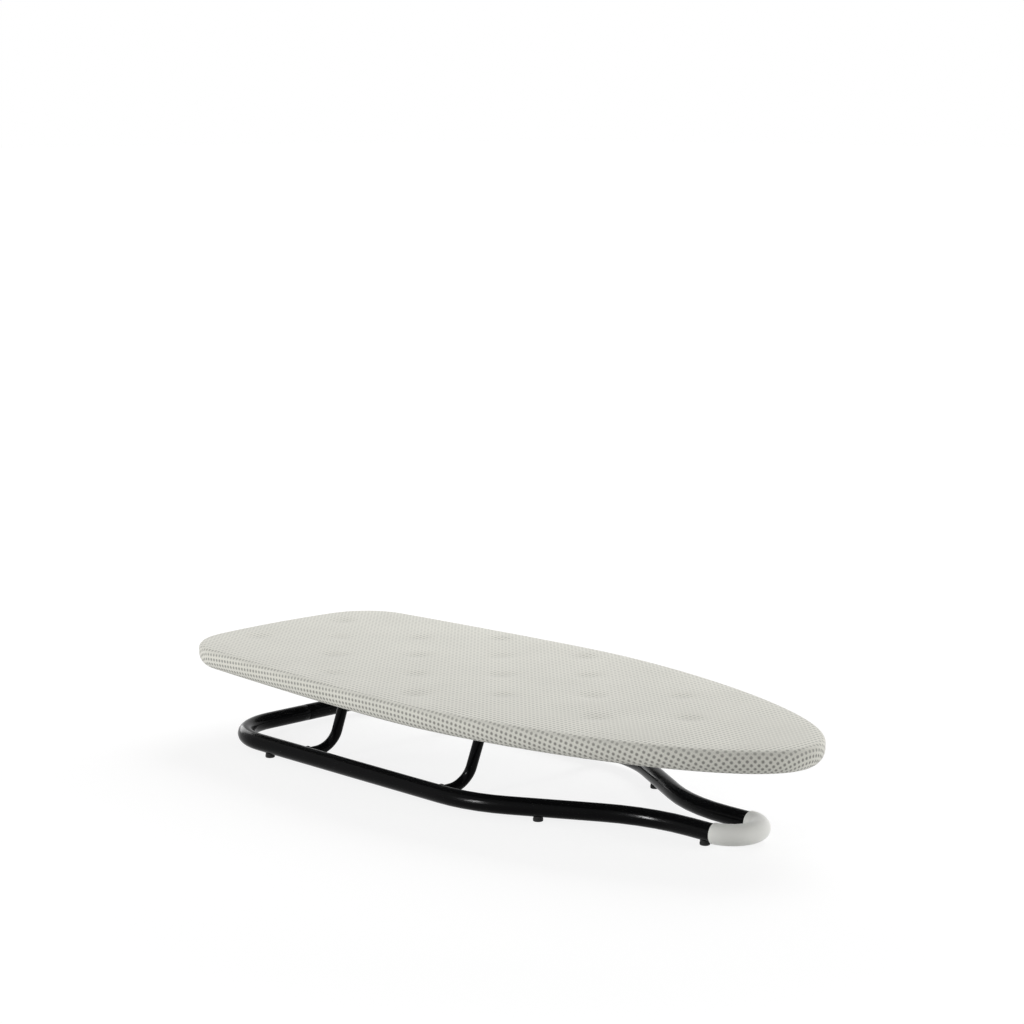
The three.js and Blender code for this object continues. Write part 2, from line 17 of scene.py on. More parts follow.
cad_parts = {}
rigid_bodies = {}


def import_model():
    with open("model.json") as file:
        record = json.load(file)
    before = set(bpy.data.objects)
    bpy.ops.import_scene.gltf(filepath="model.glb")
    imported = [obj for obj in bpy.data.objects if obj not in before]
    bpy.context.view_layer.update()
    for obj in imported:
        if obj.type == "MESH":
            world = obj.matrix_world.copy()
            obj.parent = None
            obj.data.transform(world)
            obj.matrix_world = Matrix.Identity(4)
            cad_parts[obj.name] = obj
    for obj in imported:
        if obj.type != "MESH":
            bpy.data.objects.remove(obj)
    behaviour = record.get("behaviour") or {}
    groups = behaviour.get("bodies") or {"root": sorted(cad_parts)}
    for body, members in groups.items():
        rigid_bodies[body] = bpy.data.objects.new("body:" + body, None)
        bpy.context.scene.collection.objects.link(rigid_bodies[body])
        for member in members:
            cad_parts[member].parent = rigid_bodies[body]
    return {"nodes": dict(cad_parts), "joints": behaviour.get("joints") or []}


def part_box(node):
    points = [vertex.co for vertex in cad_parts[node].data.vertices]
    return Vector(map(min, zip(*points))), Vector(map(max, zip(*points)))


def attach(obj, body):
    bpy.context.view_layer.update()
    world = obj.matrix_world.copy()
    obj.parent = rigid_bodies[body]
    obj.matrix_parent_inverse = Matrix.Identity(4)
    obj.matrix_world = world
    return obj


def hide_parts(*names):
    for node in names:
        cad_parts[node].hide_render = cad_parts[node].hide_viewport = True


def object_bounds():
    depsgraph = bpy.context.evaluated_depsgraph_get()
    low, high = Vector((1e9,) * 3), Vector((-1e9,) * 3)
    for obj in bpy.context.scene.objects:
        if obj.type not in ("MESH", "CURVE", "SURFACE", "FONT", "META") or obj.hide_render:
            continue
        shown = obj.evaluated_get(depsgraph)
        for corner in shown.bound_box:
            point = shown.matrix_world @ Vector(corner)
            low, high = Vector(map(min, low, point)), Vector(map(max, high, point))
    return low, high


bl_info = {
    "name": "Tabletop ironing board",
    "version": (1, 0, 0),
    "blender": (4, 5, 0),
    "location": "3D View > Sidebar > Ironing board",
    "description": "Models a padded tabletop ironing board on a folding tube stand",
    "category": "Add Mesh",
}

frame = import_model()
CAD_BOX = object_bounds()
PIVOTS = {joint["name"]: Vector(joint["pos_m"]) for joint in frame["joints"]}

MM = 0.001
# Gap between two pieces that touch, and the running gap of a hoop in its bearings
FIT = 0.1 * MM
RUNNING_FIT = 0.25 * MM
# Points closer than this are one point
MERGE = 0.002 * MM
QUARTER = math.radians(90)
# Facets of tubes and turned pieces, and the longest step along a tube
TUBE_SIDES = 48
TURNED_SIDES = 36
RING_STEP = 9 * MM
# Points round the board's outline: many for cloth that is gathered, fewer for plain sheet
CLOTH_POINTS = 1200
SHEET_POINTS = 240
ALONG = Vector((1, 0, 0))
ACROSS = Vector((0, 1, 0))
UP = Vector((0, 0, 1))
SIDES = {"near": -1, "far": 1}
HOOPS = {"rear": "rear_hoop_fold", "front": "front_hoop_fold"}
# Rounding of cut edges
TUBE_EDGE = 0.25 * MM
SLEEVE_EDGE = 0.35 * MM
FOOT_EDGE = 0.15 * MM
SHEET_EDGE = 0.2 * MM
SCREW_EDGE = 0.08 * MM
# Between the points that fill the pad's and the cover's flat top
FILL_STEP = 5.5 * MM
# Gathers of the hem: how far they wander and over what length, and how strong and how uneven they are
GATHER_WANDER, GATHER_WANDER_SIZE = 2.4, 34 * MM
GATHER_STRENGTH, GATHER_UNEVENNESS, GATHER_UNEVEN_SIZE = 0.62, 0.38, 21 * MM
# Ripples that the gathers leave on the cover's side, and height and length of its unevenness on top
SIDE_RIPPLE = 0.16 * MM
TOP_EASE, TOP_EASE_SIZE = 0.12 * MM, 48 * MM
# From the elastic to the row of stitches
STITCH_INSET = 1.5 * MM
# Ink of the print: how raggedly it ends, how strong it is on the side and on the top, and where below the
# top it starts and stops growing paler
INK_BLEED = 0.7 * MM
INK_ON_SIDE, INK_ON_TOP = 0.7, 0.45
INK_FADE_START, INK_FADE_END = 9 * MM, 0.4 * MM
# A wave texture of scale 1 repeats after this length in metres
WAVE_LENGTH = 2 * math.pi / 20

# Camera, fitted to the photograph: metres, degrees and millimetres
CAMERA_PLACE = (1.6624, -1.6274, 0.6442)
CAMERA_TILT = 80.69
CAMERA_TURN = 45.64
CAMERA_LENS = 87.45
CAMERA_SENSOR = 36
CAMERA_REACH = 100
# Floor: its side in metres, the share of light it throws back, and the share that shows its soft shadow
FLOOR_SIDE = 60
FLOOR_BOUNCE = 0.76
FLOOR_SHADOW = 0.2
# The floor's own glow, from one distance in metres to another
FLOOR_NEAR, FLOOR_FAR = 0.5, 1.3
FLOOR_GLOW_NEAR, FLOOR_GLOW_FAR = 0.84, 1.0
WORLD_FILL = 0.2
WHITE = (1, 1, 1)
BOARD_MIDDLE = (0, 0, 0.06)
# Lamps: name, place and size in metres, and power in watts
SOFTBOXES = (
    ("back_softbox", (-0.45, 1.5, 1.6), 1.6, 40),
    ("front_softbox", (0.1, -2.1, 0.79), 0.22, 9),
    ("left_softbox", (-1.5, -1.9, 0.6), 0.8, 22),
    ("right_softbox", (1.8, 1.0, 0.4), 0.6, 13),
)
# These light no matt surface: they draw the soft highlights on the tubes. They also have a target and a
# beam in degrees. The front one is a narrow beam on the bends, so that the end bar's top doesn't mirror it
# from behind.
SHEEN_LAMPS = (
    ("front_sheen", (-0.32, -2.18, 0.65), (0.22, 1.5), 5.2, (0.28, -0.08, 0.0125), 24),
    ("corner_sheen", (-2.2, 0.5, 0.87), (0.8, 1.5), 16, BOARD_MIDDLE, 180),
)


def srgb(code):
    """Linear red, green and blue of a six-digit sRGB hex colour."""
    shares = [int(code[place : place + 2], 16) / 255 for place in (0, 2, 4)]
    return [share / 12.92 if share <= 0.04045 else ((share + 0.055) / 1.055) ** 2.4 for share in shares]


def length(description, millimetres):
    return FloatProperty(description=description, default=millimetres * MM, unit="LENGTH", precision=5)


def angle(description, degrees):
    return FloatProperty(description=description, default=math.radians(degrees), subtype="ANGLE")


def share(description, default):
    return FloatProperty(description=description, default=default, subtype="FACTOR", min=0, max=1)


def colour(description, code):
    return FloatVectorProperty(
        description=description, default=srgb(code), subtype="COLOR", min=0, max=1, size=3
    )


def label(name):
    """A setting's name as it shows in the panel."""
    return name.replace("_", " ").capitalize()


class BaseSizes(bpy.types.PropertyGroup):
    """Sizes of the bent-tube base and of what sits on it"""

    rail_tube: length("Outside diameter of the base tube", 17)
    rail_wall: length("Wall of the base tube", 1.2)
    rail_spacing: length("Between the two rails' centre lines", 224)
    end_bar_at: length("End bar's centre line from the board's square end", 53)
    rail_corner: length("Bend radius between the end bar and a rail", 62.5)
    taper_start: length("Where the rails start to draw in, from the square end", 383)
    taper_angle: angle("How far the rails turn in", 30.3)
    taper_first_bend: length("Radius of the bend that turns a rail in", 142)
    taper_second_bend: length("Radius of the bend that turns a rail back", 171)
    loop_width: length("Between centre lines at the hanging loop", 52)
    loop_centre_at: length("Centre of the loop's half turn, from the square end", 640)
    seam_gap: length("Gap where the tube's two ends meet", 0.6)
    sleeve_start: angle("How far round the loop's half turn the sleeve starts", 7)
    sleeve_turn: angle("How far round the loop the sleeve reaches", 171)
    sleeve_wall: length("Wall of the loop's sleeve", 0.9)
    sleeve_fit: length("Gap between the tube and its sleeve", 0.3)
    foot_height: length("Height of the tube above the table", 4)
    foot_diameter: length("Diameter of a rubber foot", 9.5)
    foot_stem: length("Diameter of a foot's push-in stem", 4.8)
    rear_foot_at: length("From the square end", 132)
    middle_foot_along: length("Along the straight of the taper", 27)
    nose_foot_at: length("From the square end", 633)
    bush_wall: length("Wall of the bush inside the rail", 0.9)
    collar_wall: length("Wall of the bush's collar", 1.4)
    collar_length: length("How far the collar stands off the rail", 1)
    bush_end: length("Bush's inner end from the rail's centre line", 5)


class HoopSizes(bpy.types.PropertyGroup):
    """Sizes of the folding hoops and of what holds them under the board"""

    tube: length("Outside diameter of a hoop", 10.5)
    wall: length("Wall of a hoop's tube", 1.2)
    bend: length("Bend radius of a hoop", 20)
    arm_spacing: length("Between a hoop's two arms", 145)
    end_from_rail: length("Hoop's end from the rail's centre line", 3)
    pivot_fit: length("Gap between a hoop and the blocks that hold it", 0.3)
    block_wall: length("Wall of a pivot block round the hoop", 3.6)
    block_ear: length("Length of a pivot block's ear", 10)
    block_ear_thickness: length("Thickness of a pivot block's ear", 5)
    block_width: length("Width of a pivot block's saddle", 20)
    block_centre: length("Saddle's middle from the board's middle line", 40)
    stop_depth: length("How far the stop heel reaches below the pivot", 9)
    stop_back: length("How far the stop heel reaches behind the pivot", 15)
    block_rounding: length("Rounding of a pivot block's edges", 0.6)
    screw_shank: length("Diameter of a screw's thread", 3.8)
    screw_head: length("Diameter of a screw's head", 6.8)
    screw_head_height: length("Height of a screw's head", 2.2)
    screw_tip: length("How far a screw reaches past the channel", 4)
    thread_pitch: length("Between the screw's turns", 1.2)


class BoardSizes(bpy.types.PropertyGroup):
    """Sizes of the board, its pad and its cover"""

    width: length("Width over the cover", 300)
    widest_at: length("Where the board is widest, from the square end", 347)
    square_end_width: length("Width at the square end", 264)
    square_end_corner: length("Corner radius of the square end", 62)
    square_end_bow: length("Bow of the square end", 4)
    side_fullness: share("Where the side curve's tangents meet", 0.72)
    nose_reach: length("Handle of the nose curve along the board", 140)
    nose_fullness: length("Handle of the nose curve across the board", 88)
    cover_thickness: length("Thickness of the cloth with its backing", 0.9)
    top_edge: length("Rounding of the cover's top edge", 5)
    under_edge: length("Rounding of the cover's under edge", 12)
    hem_width: length("How far the cover reaches in under the board", 14)
    crown: length("How far the pad's edge falls below its middle", 0.5)
    edge_band: length("Width of the pad's falling edge", 24)
    seat: length("Gap between the board's layers", 0.3)
    gather_pitch: length("Between two gathers of the hem", 12)
    gather_depth: length("Depth of the gathers along the straight sides", 0.7)
    gather_turn: share("Millimetres that a gather is deeper for each turn per metre", 0.2)
    stitch_length: length("Length of a hem stitch", 2.6)
    stitch_gap: length("Gap between two hem stitches", 0.8)
    thread: length("Diameter of the sewing thread", 0.65)
    elastic_width: length("Width of the elastic in the hem", 5)
    elastic_thickness: length("Thickness of the elastic in the hem", 0.9)
    elastic_inset: length("Elastic from the hem's edge", 1.5)
    vent_diameter: length("Diameter of the panel's vents", 30)
    vent_pitch: length("Between the vents of a row", 120)
    vent_row_spacing: length("Between two rows of vents", 57)
    vent_row_at: length("A vent of the middle row, from the square end", 350)
    vent_margin: length("Least steel between a vent and the panel's edge", 10)
    dimple_depth: length("How far the pad sinks over a vent", 1.6)
    dimple_width: length("Width of the pad's hollow over a vent", 44)
    panel_inset: length("Panel's edge inside the cover", 1.6)
    rim_flange: length("Width of the rim's flange under the panel", 10)
    rim_return: length("Width of the rim's turned-in edge", 2)
    rim_wall: length("Thickness of the rim's sheet", 0.8)
    channel_web: length("Width of a cross channel's web", 42)
    channel_lip: length("Width of a cross channel's lips", 8)
    channel_wall: length("Thickness of a cross channel's sheet", 1)


class PrintSizes(bpy.types.PropertyGroup):
    """Sizes of the cover's dot print and weave"""

    dot_pitch_along: length("Between dots along the board", 5.05)
    dot_pitch_across: length("Between dots across the board", 4.9)
    dot: length("Diameter of a dot", 2.9)
    dot_edge: length("How softly the ink ends", 0.7)
    thread_spacing: length("Between two threads of the weave", 0.9)


class Finishes(bpy.types.PropertyGroup):
    """Colours of the finishes"""

    tube_black: colour("Powder coat of the tubes", "0B0B0C")
    sleeve_white: colour("Plastic of the loop's sleeve", "F6F6F1")
    rubber_black: colour("Rubber of the feet", "161616")
    nylon_black: colour("Plastic of bushes and pivot blocks", "1A1A1B")
    steel_grey: colour("Powder coat of the board's sheet steel", "9DA0A2")
    zinc: colour("Plating of the screws", "C3C6C9")
    foam_cream: colour("Foam of the pad", "E2DAC4")
    cotton_ground: colour("Unprinted cloth of the cover", "E8E7DE")
    cotton_dot: colour("Printed dots of the cover", "585750")
    elastic_white: colour("Elastic in the hem", "E6E3DA")
    thread_cream: colour("Sewing thread of the hem", "D6D2C4")


# Modelling steps that several pieces share


def leave_edit_mode():
    if bpy.context.object is not None and bpy.context.object.mode != "OBJECT":
        bpy.ops.object.mode_set(mode="OBJECT")


def take(piece):
    """Make the piece the only one selected, in object mode."""
    leave_edit_mode()
    bpy.ops.object.select_all(action="DESELECT")
    piece.select_set(True)
    bpy.context.view_layer.objects.active = piece


def start(primitive, name, **settings):
    """Add a primitive at its size and place and open it in edit mode, all selected."""
    leave_edit_mode()
    bpy.ops.object.select_all(action="DESELECT")
    primitive(**settings)
    piece = bpy.context.object
    piece.name = name
    piece.data.name = name
    bpy.ops.object.transform_apply(location=True, rotation=True, scale=True)
    bpy.ops.object.mode_set(mode="EDIT")
    bpy.ops.mesh.select_all(action="SELECT")
    return piece


def pick_faces(piece, wanted):
    """Select the faces whose centre and normal pass a test."""
    bpy.ops.mesh.select_mode(type="FACE")
    bpy.ops.mesh.select_all(action="DESELECT")
    shape = bmesh.from_edit_mesh(piece.data)
    shape.normal_update()
    for face in shape.faces:
        face.select_set(bool(wanted(face.calc_center_median(), face.normal)))
    bmesh.update_edit_mesh(piece.data)


def pick_edges(piece, wanted):
    """Select the edges whose two ends pass a test."""
    bpy.ops.mesh.select_mode(type="EDGE")
    bpy.ops.mesh.select_all(action="DESELECT")
    shape = bmesh.from_edit_mesh(piece.data)
    for edge in shape.edges:
        edge.select_set(bool(wanted(edge.verts[0].co, edge.verts[1].co)))
    bmesh.update_edit_mesh(piece.data)


def extrude(move):
    bpy.ops.mesh.extrude_region_move(TRANSFORM_OT_translate={"value": move})


def open_all(piece):
    """Open the piece in edit mode, all selected."""
    take(piece)
    bpy.ops.object.mode_set(mode="EDIT")
    bpy.ops.mesh.select_all(action="SELECT")


def face_out():
    """Turn all faces of the open piece outwards."""
    bpy.ops.mesh.select_all(action="SELECT")
    bpy.ops.mesh.normals_make_consistent(inside=False)


def close_up(piece):
    """Merge doubles and turn all faces outwards, then leave edit mode."""
    bpy.ops.mesh.select_all(action="SELECT")
    bpy.ops.mesh.remove_doubles(threshold=MERGE)
    face_out()
    take(piece)


def sized(primitive, name, place, size):
    """A plane or a cube of a size at its place, open in edit mode."""
    piece = start(primitive, name, size=1, location=place)
    bpy.ops.transform.resize(value=size, center_override=place)
    return piece


def apply_modifier(piece, kind, **settings):
    take(piece)
    modifier = piece.modifiers.new(kind.lower(), kind)
    for setting, value in settings.items():
        setattr(modifier, setting, value)
    bpy.ops.object.modifier_apply(modifier=modifier.name)


def combine(piece, tool, operation):
    """Cut the tool out of the piece, unite the two or keep what they share, and remove the tool."""
    apply_modifier(piece, "BOOLEAN", operation=operation, solver="EXACT", object=tool)
    bpy.data.objects.remove(tool)
    if not piece.data.polygons:
        raise RuntimeError(f"nothing is left of {piece.name}")
    open_all(piece)
    bpy.ops.mesh.remove_doubles(threshold=MERGE)
    bpy.ops.mesh.dissolve_degenerate(threshold=MERGE)
    take(piece)


def joined(pieces):
    """One object of several that don't overlap."""
    take(pieces[0])
    for piece in pieces[1:]:
        piece.select_set(True)
    bpy.ops.object.join()
    return pieces[0]


def round_edges(piece, width, segments=2, limit=60, clamped=True):
    apply_modifier(
        piece, "BEVEL", width=width, segments=segments, limit_method="ANGLE",
        angle_limit=math.radians(limit), harden_normals=False, use_clamp_overlap=clamped,
    )


def rod(name, radius, low, high, direction=UP):
    """A plain rod from one point to another along a direction, used as a cutter."""
    middle = (low + high) / 2
    piece = start(
        bpy.ops.mesh.primitive_cylinder_add, name, vertices=TURNED_SIDES, radius=radius,
        depth=(high - low).length, location=middle, rotation=direction.to_track_quat("Z", "Y").to_euler(),
    )
    take(piece)
    return piece


def turned(name, profile, ring=False, sides=TURNED_SIDES):
    """A circle drawn up the Z axis through pairs of radius and height. A ring's profile closes on itself."""
    radius, height = profile[0]
    piece = start(
        bpy.ops.mesh.primitive_circle_add, name, vertices=sides, radius=radius,
        location=(0, 0, height), fill_type="NOTHING" if ring else "NGON",
    )
    for next_radius, next_height in profile[1:]:
        extrude((0, 0, next_height - height))
        scale = next_radius / radius
        bpy.ops.transform.resize(value=(scale, scale, 1), center_override=(0, 0, next_height))
        radius, height = next_radius, next_height
    if ring:
        bpy.ops.mesh.select_mode(type="EDGE")
        bpy.ops.mesh.select_all(action="DESELECT")
        bpy.ops.mesh.select_non_manifold(extend=False)
        bpy.ops.mesh.bridge_edge_loops()
    close_up(piece)
    return piece


def moved(piece, place, turn=None):
    """Turn a piece about the origin and put it at its place, in its mesh."""
    take(piece)
    if turn is not None:
        piece.rotation_euler = turn.to_euler()
    piece.location = place
    bpy.ops.object.transform_apply(location=True, rotation=True, scale=True)
    return piece


def copied(piece, name):
    """A copy with a mesh of its own."""
    take(piece)
    bpy.ops.object.duplicate(linked=False)
    copy = bpy.context.object
    copy.name = name
    copy.data.name = name
    return copy


def mirrored_across(piece):
    """Mirror the piece in the board's middle plane, with its faces turned out again."""
    open_all(piece)
    bpy.ops.transform.resize(value=(1, -1, 1), center_override=(0, 0, 0))
    face_out()
    take(piece)
    return piece


def bent_tube(name, radius, wall, place, heading, normal, runs):
    """Push a circle along straights and round bends as a tube bender does, then give the tube its wall.

    A run is a length, or a bend's radius and its angle, positive to the left seen from the normal's end.
    """
    tube = start(
        bpy.ops.mesh.primitive_circle_add, name, vertices=TUBE_SIDES, radius=radius, location=place,
        rotation=heading.to_track_quat("Z", "Y").to_euler(),
    )
    place = place.copy()
    for run in runs:
        if isinstance(run, tuple):
            radius_of_bend, turn = run
            side = math.copysign(1, turn)
            centre = place + side * radius_of_bend * normal.cross(heading)
            steps = max(4, math.ceil(abs(turn) / math.radians(7.5)))
            # With no window, a spin turns clockwise about its axis
            bpy.ops.mesh.spin(steps=steps, angle=abs(turn), center=centre, axis=-side * normal)
            turned_by = Matrix.Rotation(turn, 3, normal)
            place = centre + turned_by @ (place - centre)
            heading = turned_by @ heading
        else:
            steps = max(1, math.ceil(run / RING_STEP))
            for _ in range(steps):
                extrude(heading * (run / steps))
            place = place + heading * run
    close_up(tube)
    apply_modifier(tube, "SOLIDIFY", thickness=wall, offset=-1, use_even_offset=True)
    return tube


def sheet_mesh(name, points, faces):
    """A piece of cloth or padding from its own points."""
    mesh = bpy.data.meshes.new(name)
    mesh.from_pydata(points, [], faces)
    piece = bpy.data.objects.new(name, mesh)
    bpy.context.scene.collection.objects.link(piece)
    return piece


def known_finish(maker):
    """The finish that a function makes, made once."""
    return bpy.data.materials.get(maker.__name__) or maker(bpy.context.scene.finishes)


def hand_over(piece, maker, body, slot, *nodes, smooth=38, flat_faces=False):
    """Smooth the piece, give it its finish and let it stand for its CAD nodes."""
    take(piece)
    bpy.ops.object.shade_smooth_by_angle(angle=math.radians(smooth))
    if flat_faces:
        apply_modifier(piece, "WEIGHTED_NORMAL", weight=100, keep_sharp=True)
    piece.data.materials.clear()
    piece.data.materials.append(known_finish(maker))
    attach(piece, body)
    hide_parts(*nodes)


def from_square_end(distance):
    """X of a place that is measured from the board's square end."""
    return CAD_BOX[0].x + distance


# The board's outline and the cover's shape


def bezier(controls, steps):
    """Points on a curve of any degree, by halving its control lines."""
    points = []
    for step in range(steps + 1):
        level = [Vector(control) for control in controls]
        while len(level) > 1:
            level = [first.lerp(second, step / steps) for first, second in zip(level, level[1:])]
        points.append(level[0])
    return points


def half_outline(sizes, steps=300):
    """The outline over the cover on the far side, from the middle of the square end round to the nose."""
    half = sizes.width / 2
    corner = sizes.square_end_corner
    corner_y = sizes.square_end_width / 2 - corner
    bow_angle = math.atan(2 * sizes.square_end_bow / corner_y)
    bow_end_y = corner_y + corner * math.sin(bow_angle)
    bow_end_x = bow_end_y / 2 * math.tan(bow_angle)
    corner_x = bow_end_x + corner * math.cos(bow_angle)
    rise = half - sizes.square_end_width / 2
    side_angle = math.atan(rise / (sizes.side_fullness * (sizes.widest_at - corner_x)))
    side_start = (corner_x - corner * math.sin(side_angle), corner_y + corner * math.cos(side_angle))
    side_turn = side_start[0] + (half - side_start[1]) / math.tan(side_angle)
    nose = CAD_BOX[1].x - CAD_BOX[0].x
    points = bezier([(0, 0), (0, bow_end_y / 2), (bow_end_x, bow_end_y)], steps)
    first, last = math.pi - bow_angle, math.pi / 2 + side_angle
    for step in range(1, steps):
        turn = first + (last - first) * step / steps
        points.append(Vector((corner_x + corner * math.cos(turn), corner_y + corner * math.sin(turn))))
    side_end = (sizes.widest_at, half)
    points += bezier([side_start, (side_turn, half), side_end], steps)
    handles = ((sizes.widest_at + sizes.nose_reach, half), (nose, sizes.nose_fullness))
    points += bezier([side_end, *handles, (nose, 0)], steps)[1:]
    return [Vector((from_square_end(point.x), point.y)) for point in points]


class Outline:
    """Evenly spaced points round the board, against the clock from the nose.

    Each has its way out and how sharply the outline turns there.
    """

    def __init__(self, sizes, count):
        half = half_outline(sizes)
        loop = half[::-1] + [Vector((point.x, -point.y)) for point in half[1:]]
        dense = np.array(loop)
        reach = np.concatenate([[0], np.cumsum(np.linalg.norm(np.diff(dense, axis=0), axis=1))])
        self.perimeter = reach[-1]
        self.run = np.arange(count) * self.perimeter / count
        self.points = np.stack([np.interp(self.run, reach, dense[:, axis]) for axis in (0, 1)], axis=1)
        chord = np.roll(self.points, -1, axis=0) - np.roll(self.points, 1, axis=0)
        tangent = chord / np.linalg.norm(chord, axis=1)[:, None]
        self.out = np.stack([tangent[:, 1], -tangent[:, 0]], axis=1)
        bend = np.roll(tangent, -1, axis=0) - np.roll(tangent, 1, axis=0)
        spacing = 2 * self.perimeter / count
        sharp = np.linalg.norm(bend, axis=1) / spacing
        width = max(3, count // 60)
        window = np.hanning(2 * width + 1)
        padded = np.concatenate([sharp[-width:], sharp, sharp[:width]])
        self.turn = np.convolve(padded, window / window.sum(), mode="valid")

    def inset(self, distance):
        """The outline drawn in by a distance."""
        return self.points - distance * self.out


def vent_centres(sizes):
    """Where the panel's vents lie: staggered rows, each vent clear of the panel's edge."""
    outline = Outline(sizes, SHEET_POINTS)
    clear = sizes.panel_inset + sizes.vent_margin + sizes.vent_diameter / 2
    centres = []
    for row in range(-4, 5):
        shift = 0 if row % 2 == 0 else sizes.vent_pitch / 2
        for column in range(-6, 7):
            x = from_square_end(sizes.vent_row_at + shift + column * sizes.vent_pitch)
            centre = np.array([x, row * sizes.vent_row_spacing])
            away = centre - outline.points
            nearest = np.argmin(np.linalg.norm(away, axis=1))
            if away[nearest] @ outline.out[nearest] < -clear:
                centres.append(centre)
    return centres


def sunk(sizes, centres, x, y):
    """How far the pad's top sinks at a place, over the vents below it."""
    depth = 0
    for centre in centres:
        far = math.hypot(x - centre[0], y - centre[1]) / (sizes.dimple_width / 2)
        if far < 1:
            depth += sizes.dimple_depth * (0.5 + 0.5 * math.cos(math.pi * far)) ** 1.3
    return depth


def arc(centre_inset, centre_z, radius, first, last, steps):
    """Pairs of inset and height on a round of the cover's section."""
    pairs = []
    for step in range(steps + 1):
        turn = math.radians(first + (last - first) * step / steps)
        pairs.append((centre_inset - radius * math.cos(turn), centre_z + radius * math.sin(turn)))
    return pairs


def smooth_step(low, high, value):
    part = min(1, max(0, (value - low) / (high - low)))
    return part * part * (3 - 2 * part)


class CoverShape:
    """The cover's outer face: rings of points from the flat top over the edge and under to the hem."""

    def __init__(self, sizes):
        self.sizes = sizes
        self.outline = Outline(sizes, CLOTH_POINTS)
        low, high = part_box("cloth_cover")
        self.top, self.bottom = high.z, low.z
        band = sizes.edge_band
        fall = []
        for part in (0, 0.25, 0.5, 0.75):
            fall.append((band - (band - sizes.top_edge) * part, self.top - sizes.crown * part**2))
        top_centre = self.top - sizes.crown - sizes.top_edge
        under_centre = self.bottom + sizes.under_edge
        section = fall + arc(sizes.top_edge, top_centre, sizes.top_edge, 90, 0, 5)
        section += arc(sizes.under_edge, under_centre, sizes.under_edge, 0, -90, 7)
        hem_steps = 8
        for step in range(1, hem_steps + 1):
            section.append((sizes.under_edge + sizes.hem_width * step / hem_steps, self.bottom))
        self.section = np.array(section)
        walked = np.linalg.norm(np.diff(self.section, axis=0), axis=1)
        self.run = np.concatenate([[0], np.cumsum(walked)])
        self.wave = self.gathers()

    def gathers(self):
        """Folds of the gathered hem round the outline, from 0 to 1, uneven as pulled cloth is."""
        outline, sizes = self.outline, self.sizes
        waves = round(outline.perimeter / sizes.gather_pitch)
        values = []
        for place, (x, y) in enumerate(outline.points):
            wander = GATHER_WANDER * noise.noise(Vector((x, y, 0.3)) / GATHER_WANDER_SIZE)
            swing = 0.5 + 0.5 * math.sin(2 * math.pi * waves * place / len(outline.points) + wander)
            uneven = noise.noise(Vector((x, y, 5.1)) / GATHER_UNEVEN_SIZE)
            values.append(swing * (GATHER_STRENGTH + GATHER_UNEVENNESS * uneven))
        return np.array(values)

    def depth(self):
        """Depth of the gathers at each place, deepest where the outline turns and cloth is to spare."""
        return self.sizes.gather_depth + self.sizes.gather_turn * self.outline.turn * MM

    def ring(self, inset, height):
        """One ring of the outer face, with its gathers."""
        sizes = self.sizes
        hem_share = 0
        if height < self.bottom + sizes.under_edge:
            hem_share = smooth_step(sizes.under_edge + 1 * MM, sizes.under_edge + sizes.hem_width, inset)
        side_share = smooth_step(self.top - 4 * MM, self.bottom + 2 * MM, height)
        lift = hem_share * self.depth() * self.wave
        swell = np.minimum(1, 0.25 + self.depth() / (2 * MM))
        ripple = SIDE_RIPPLE * side_share * (self.wave - 0.4) * swell
        flat = self.outline.inset(inset - ripple[:, None] + 0.5 * lift[:, None])
        return np.column_stack([flat, height + lift])

    def cut(self, run):
        """The same ring on the flat cloth, before the edge was turned down."""
        return self.outline.inset(self.sizes.edge_band - run)


# Finishes


def add_node(tree, kind, inputs=None, **settings):
    """Add a node with its settings, and set or link its inputs."""
    node = tree.nodes.new(kind)
    for setting, value in settings.items():
        setattr(node, setting, value)
    for key, value in (inputs or {}).items():
        if isinstance(value, bpy.types.NodeSocket):
            tree.links.new(value, node.inputs[key])
        else:
            node.inputs[key].default_value = value
    return node


def finish(name, **constants):
    """A new finish and its surface shader, with values that hold all over it."""
    material = bpy.data.materials.new(name)
    material.use_nodes = True
    tree = material.node_tree
    shader = tree.nodes["Principled BSDF"]
    for socket, value in constants.items():
        shader.inputs[socket.replace("_", " ")].default_value = value
    return material, tree, shader


def scale_of(size):
    """Scale of a noise or cell pattern whose features have a real size."""
    return 1 / size


def shade(tone, factor=1.0):
    """A colour with its alpha, made lighter or darker by a factor."""
    return (*[min(1, factor * part) for part in tone], 1)


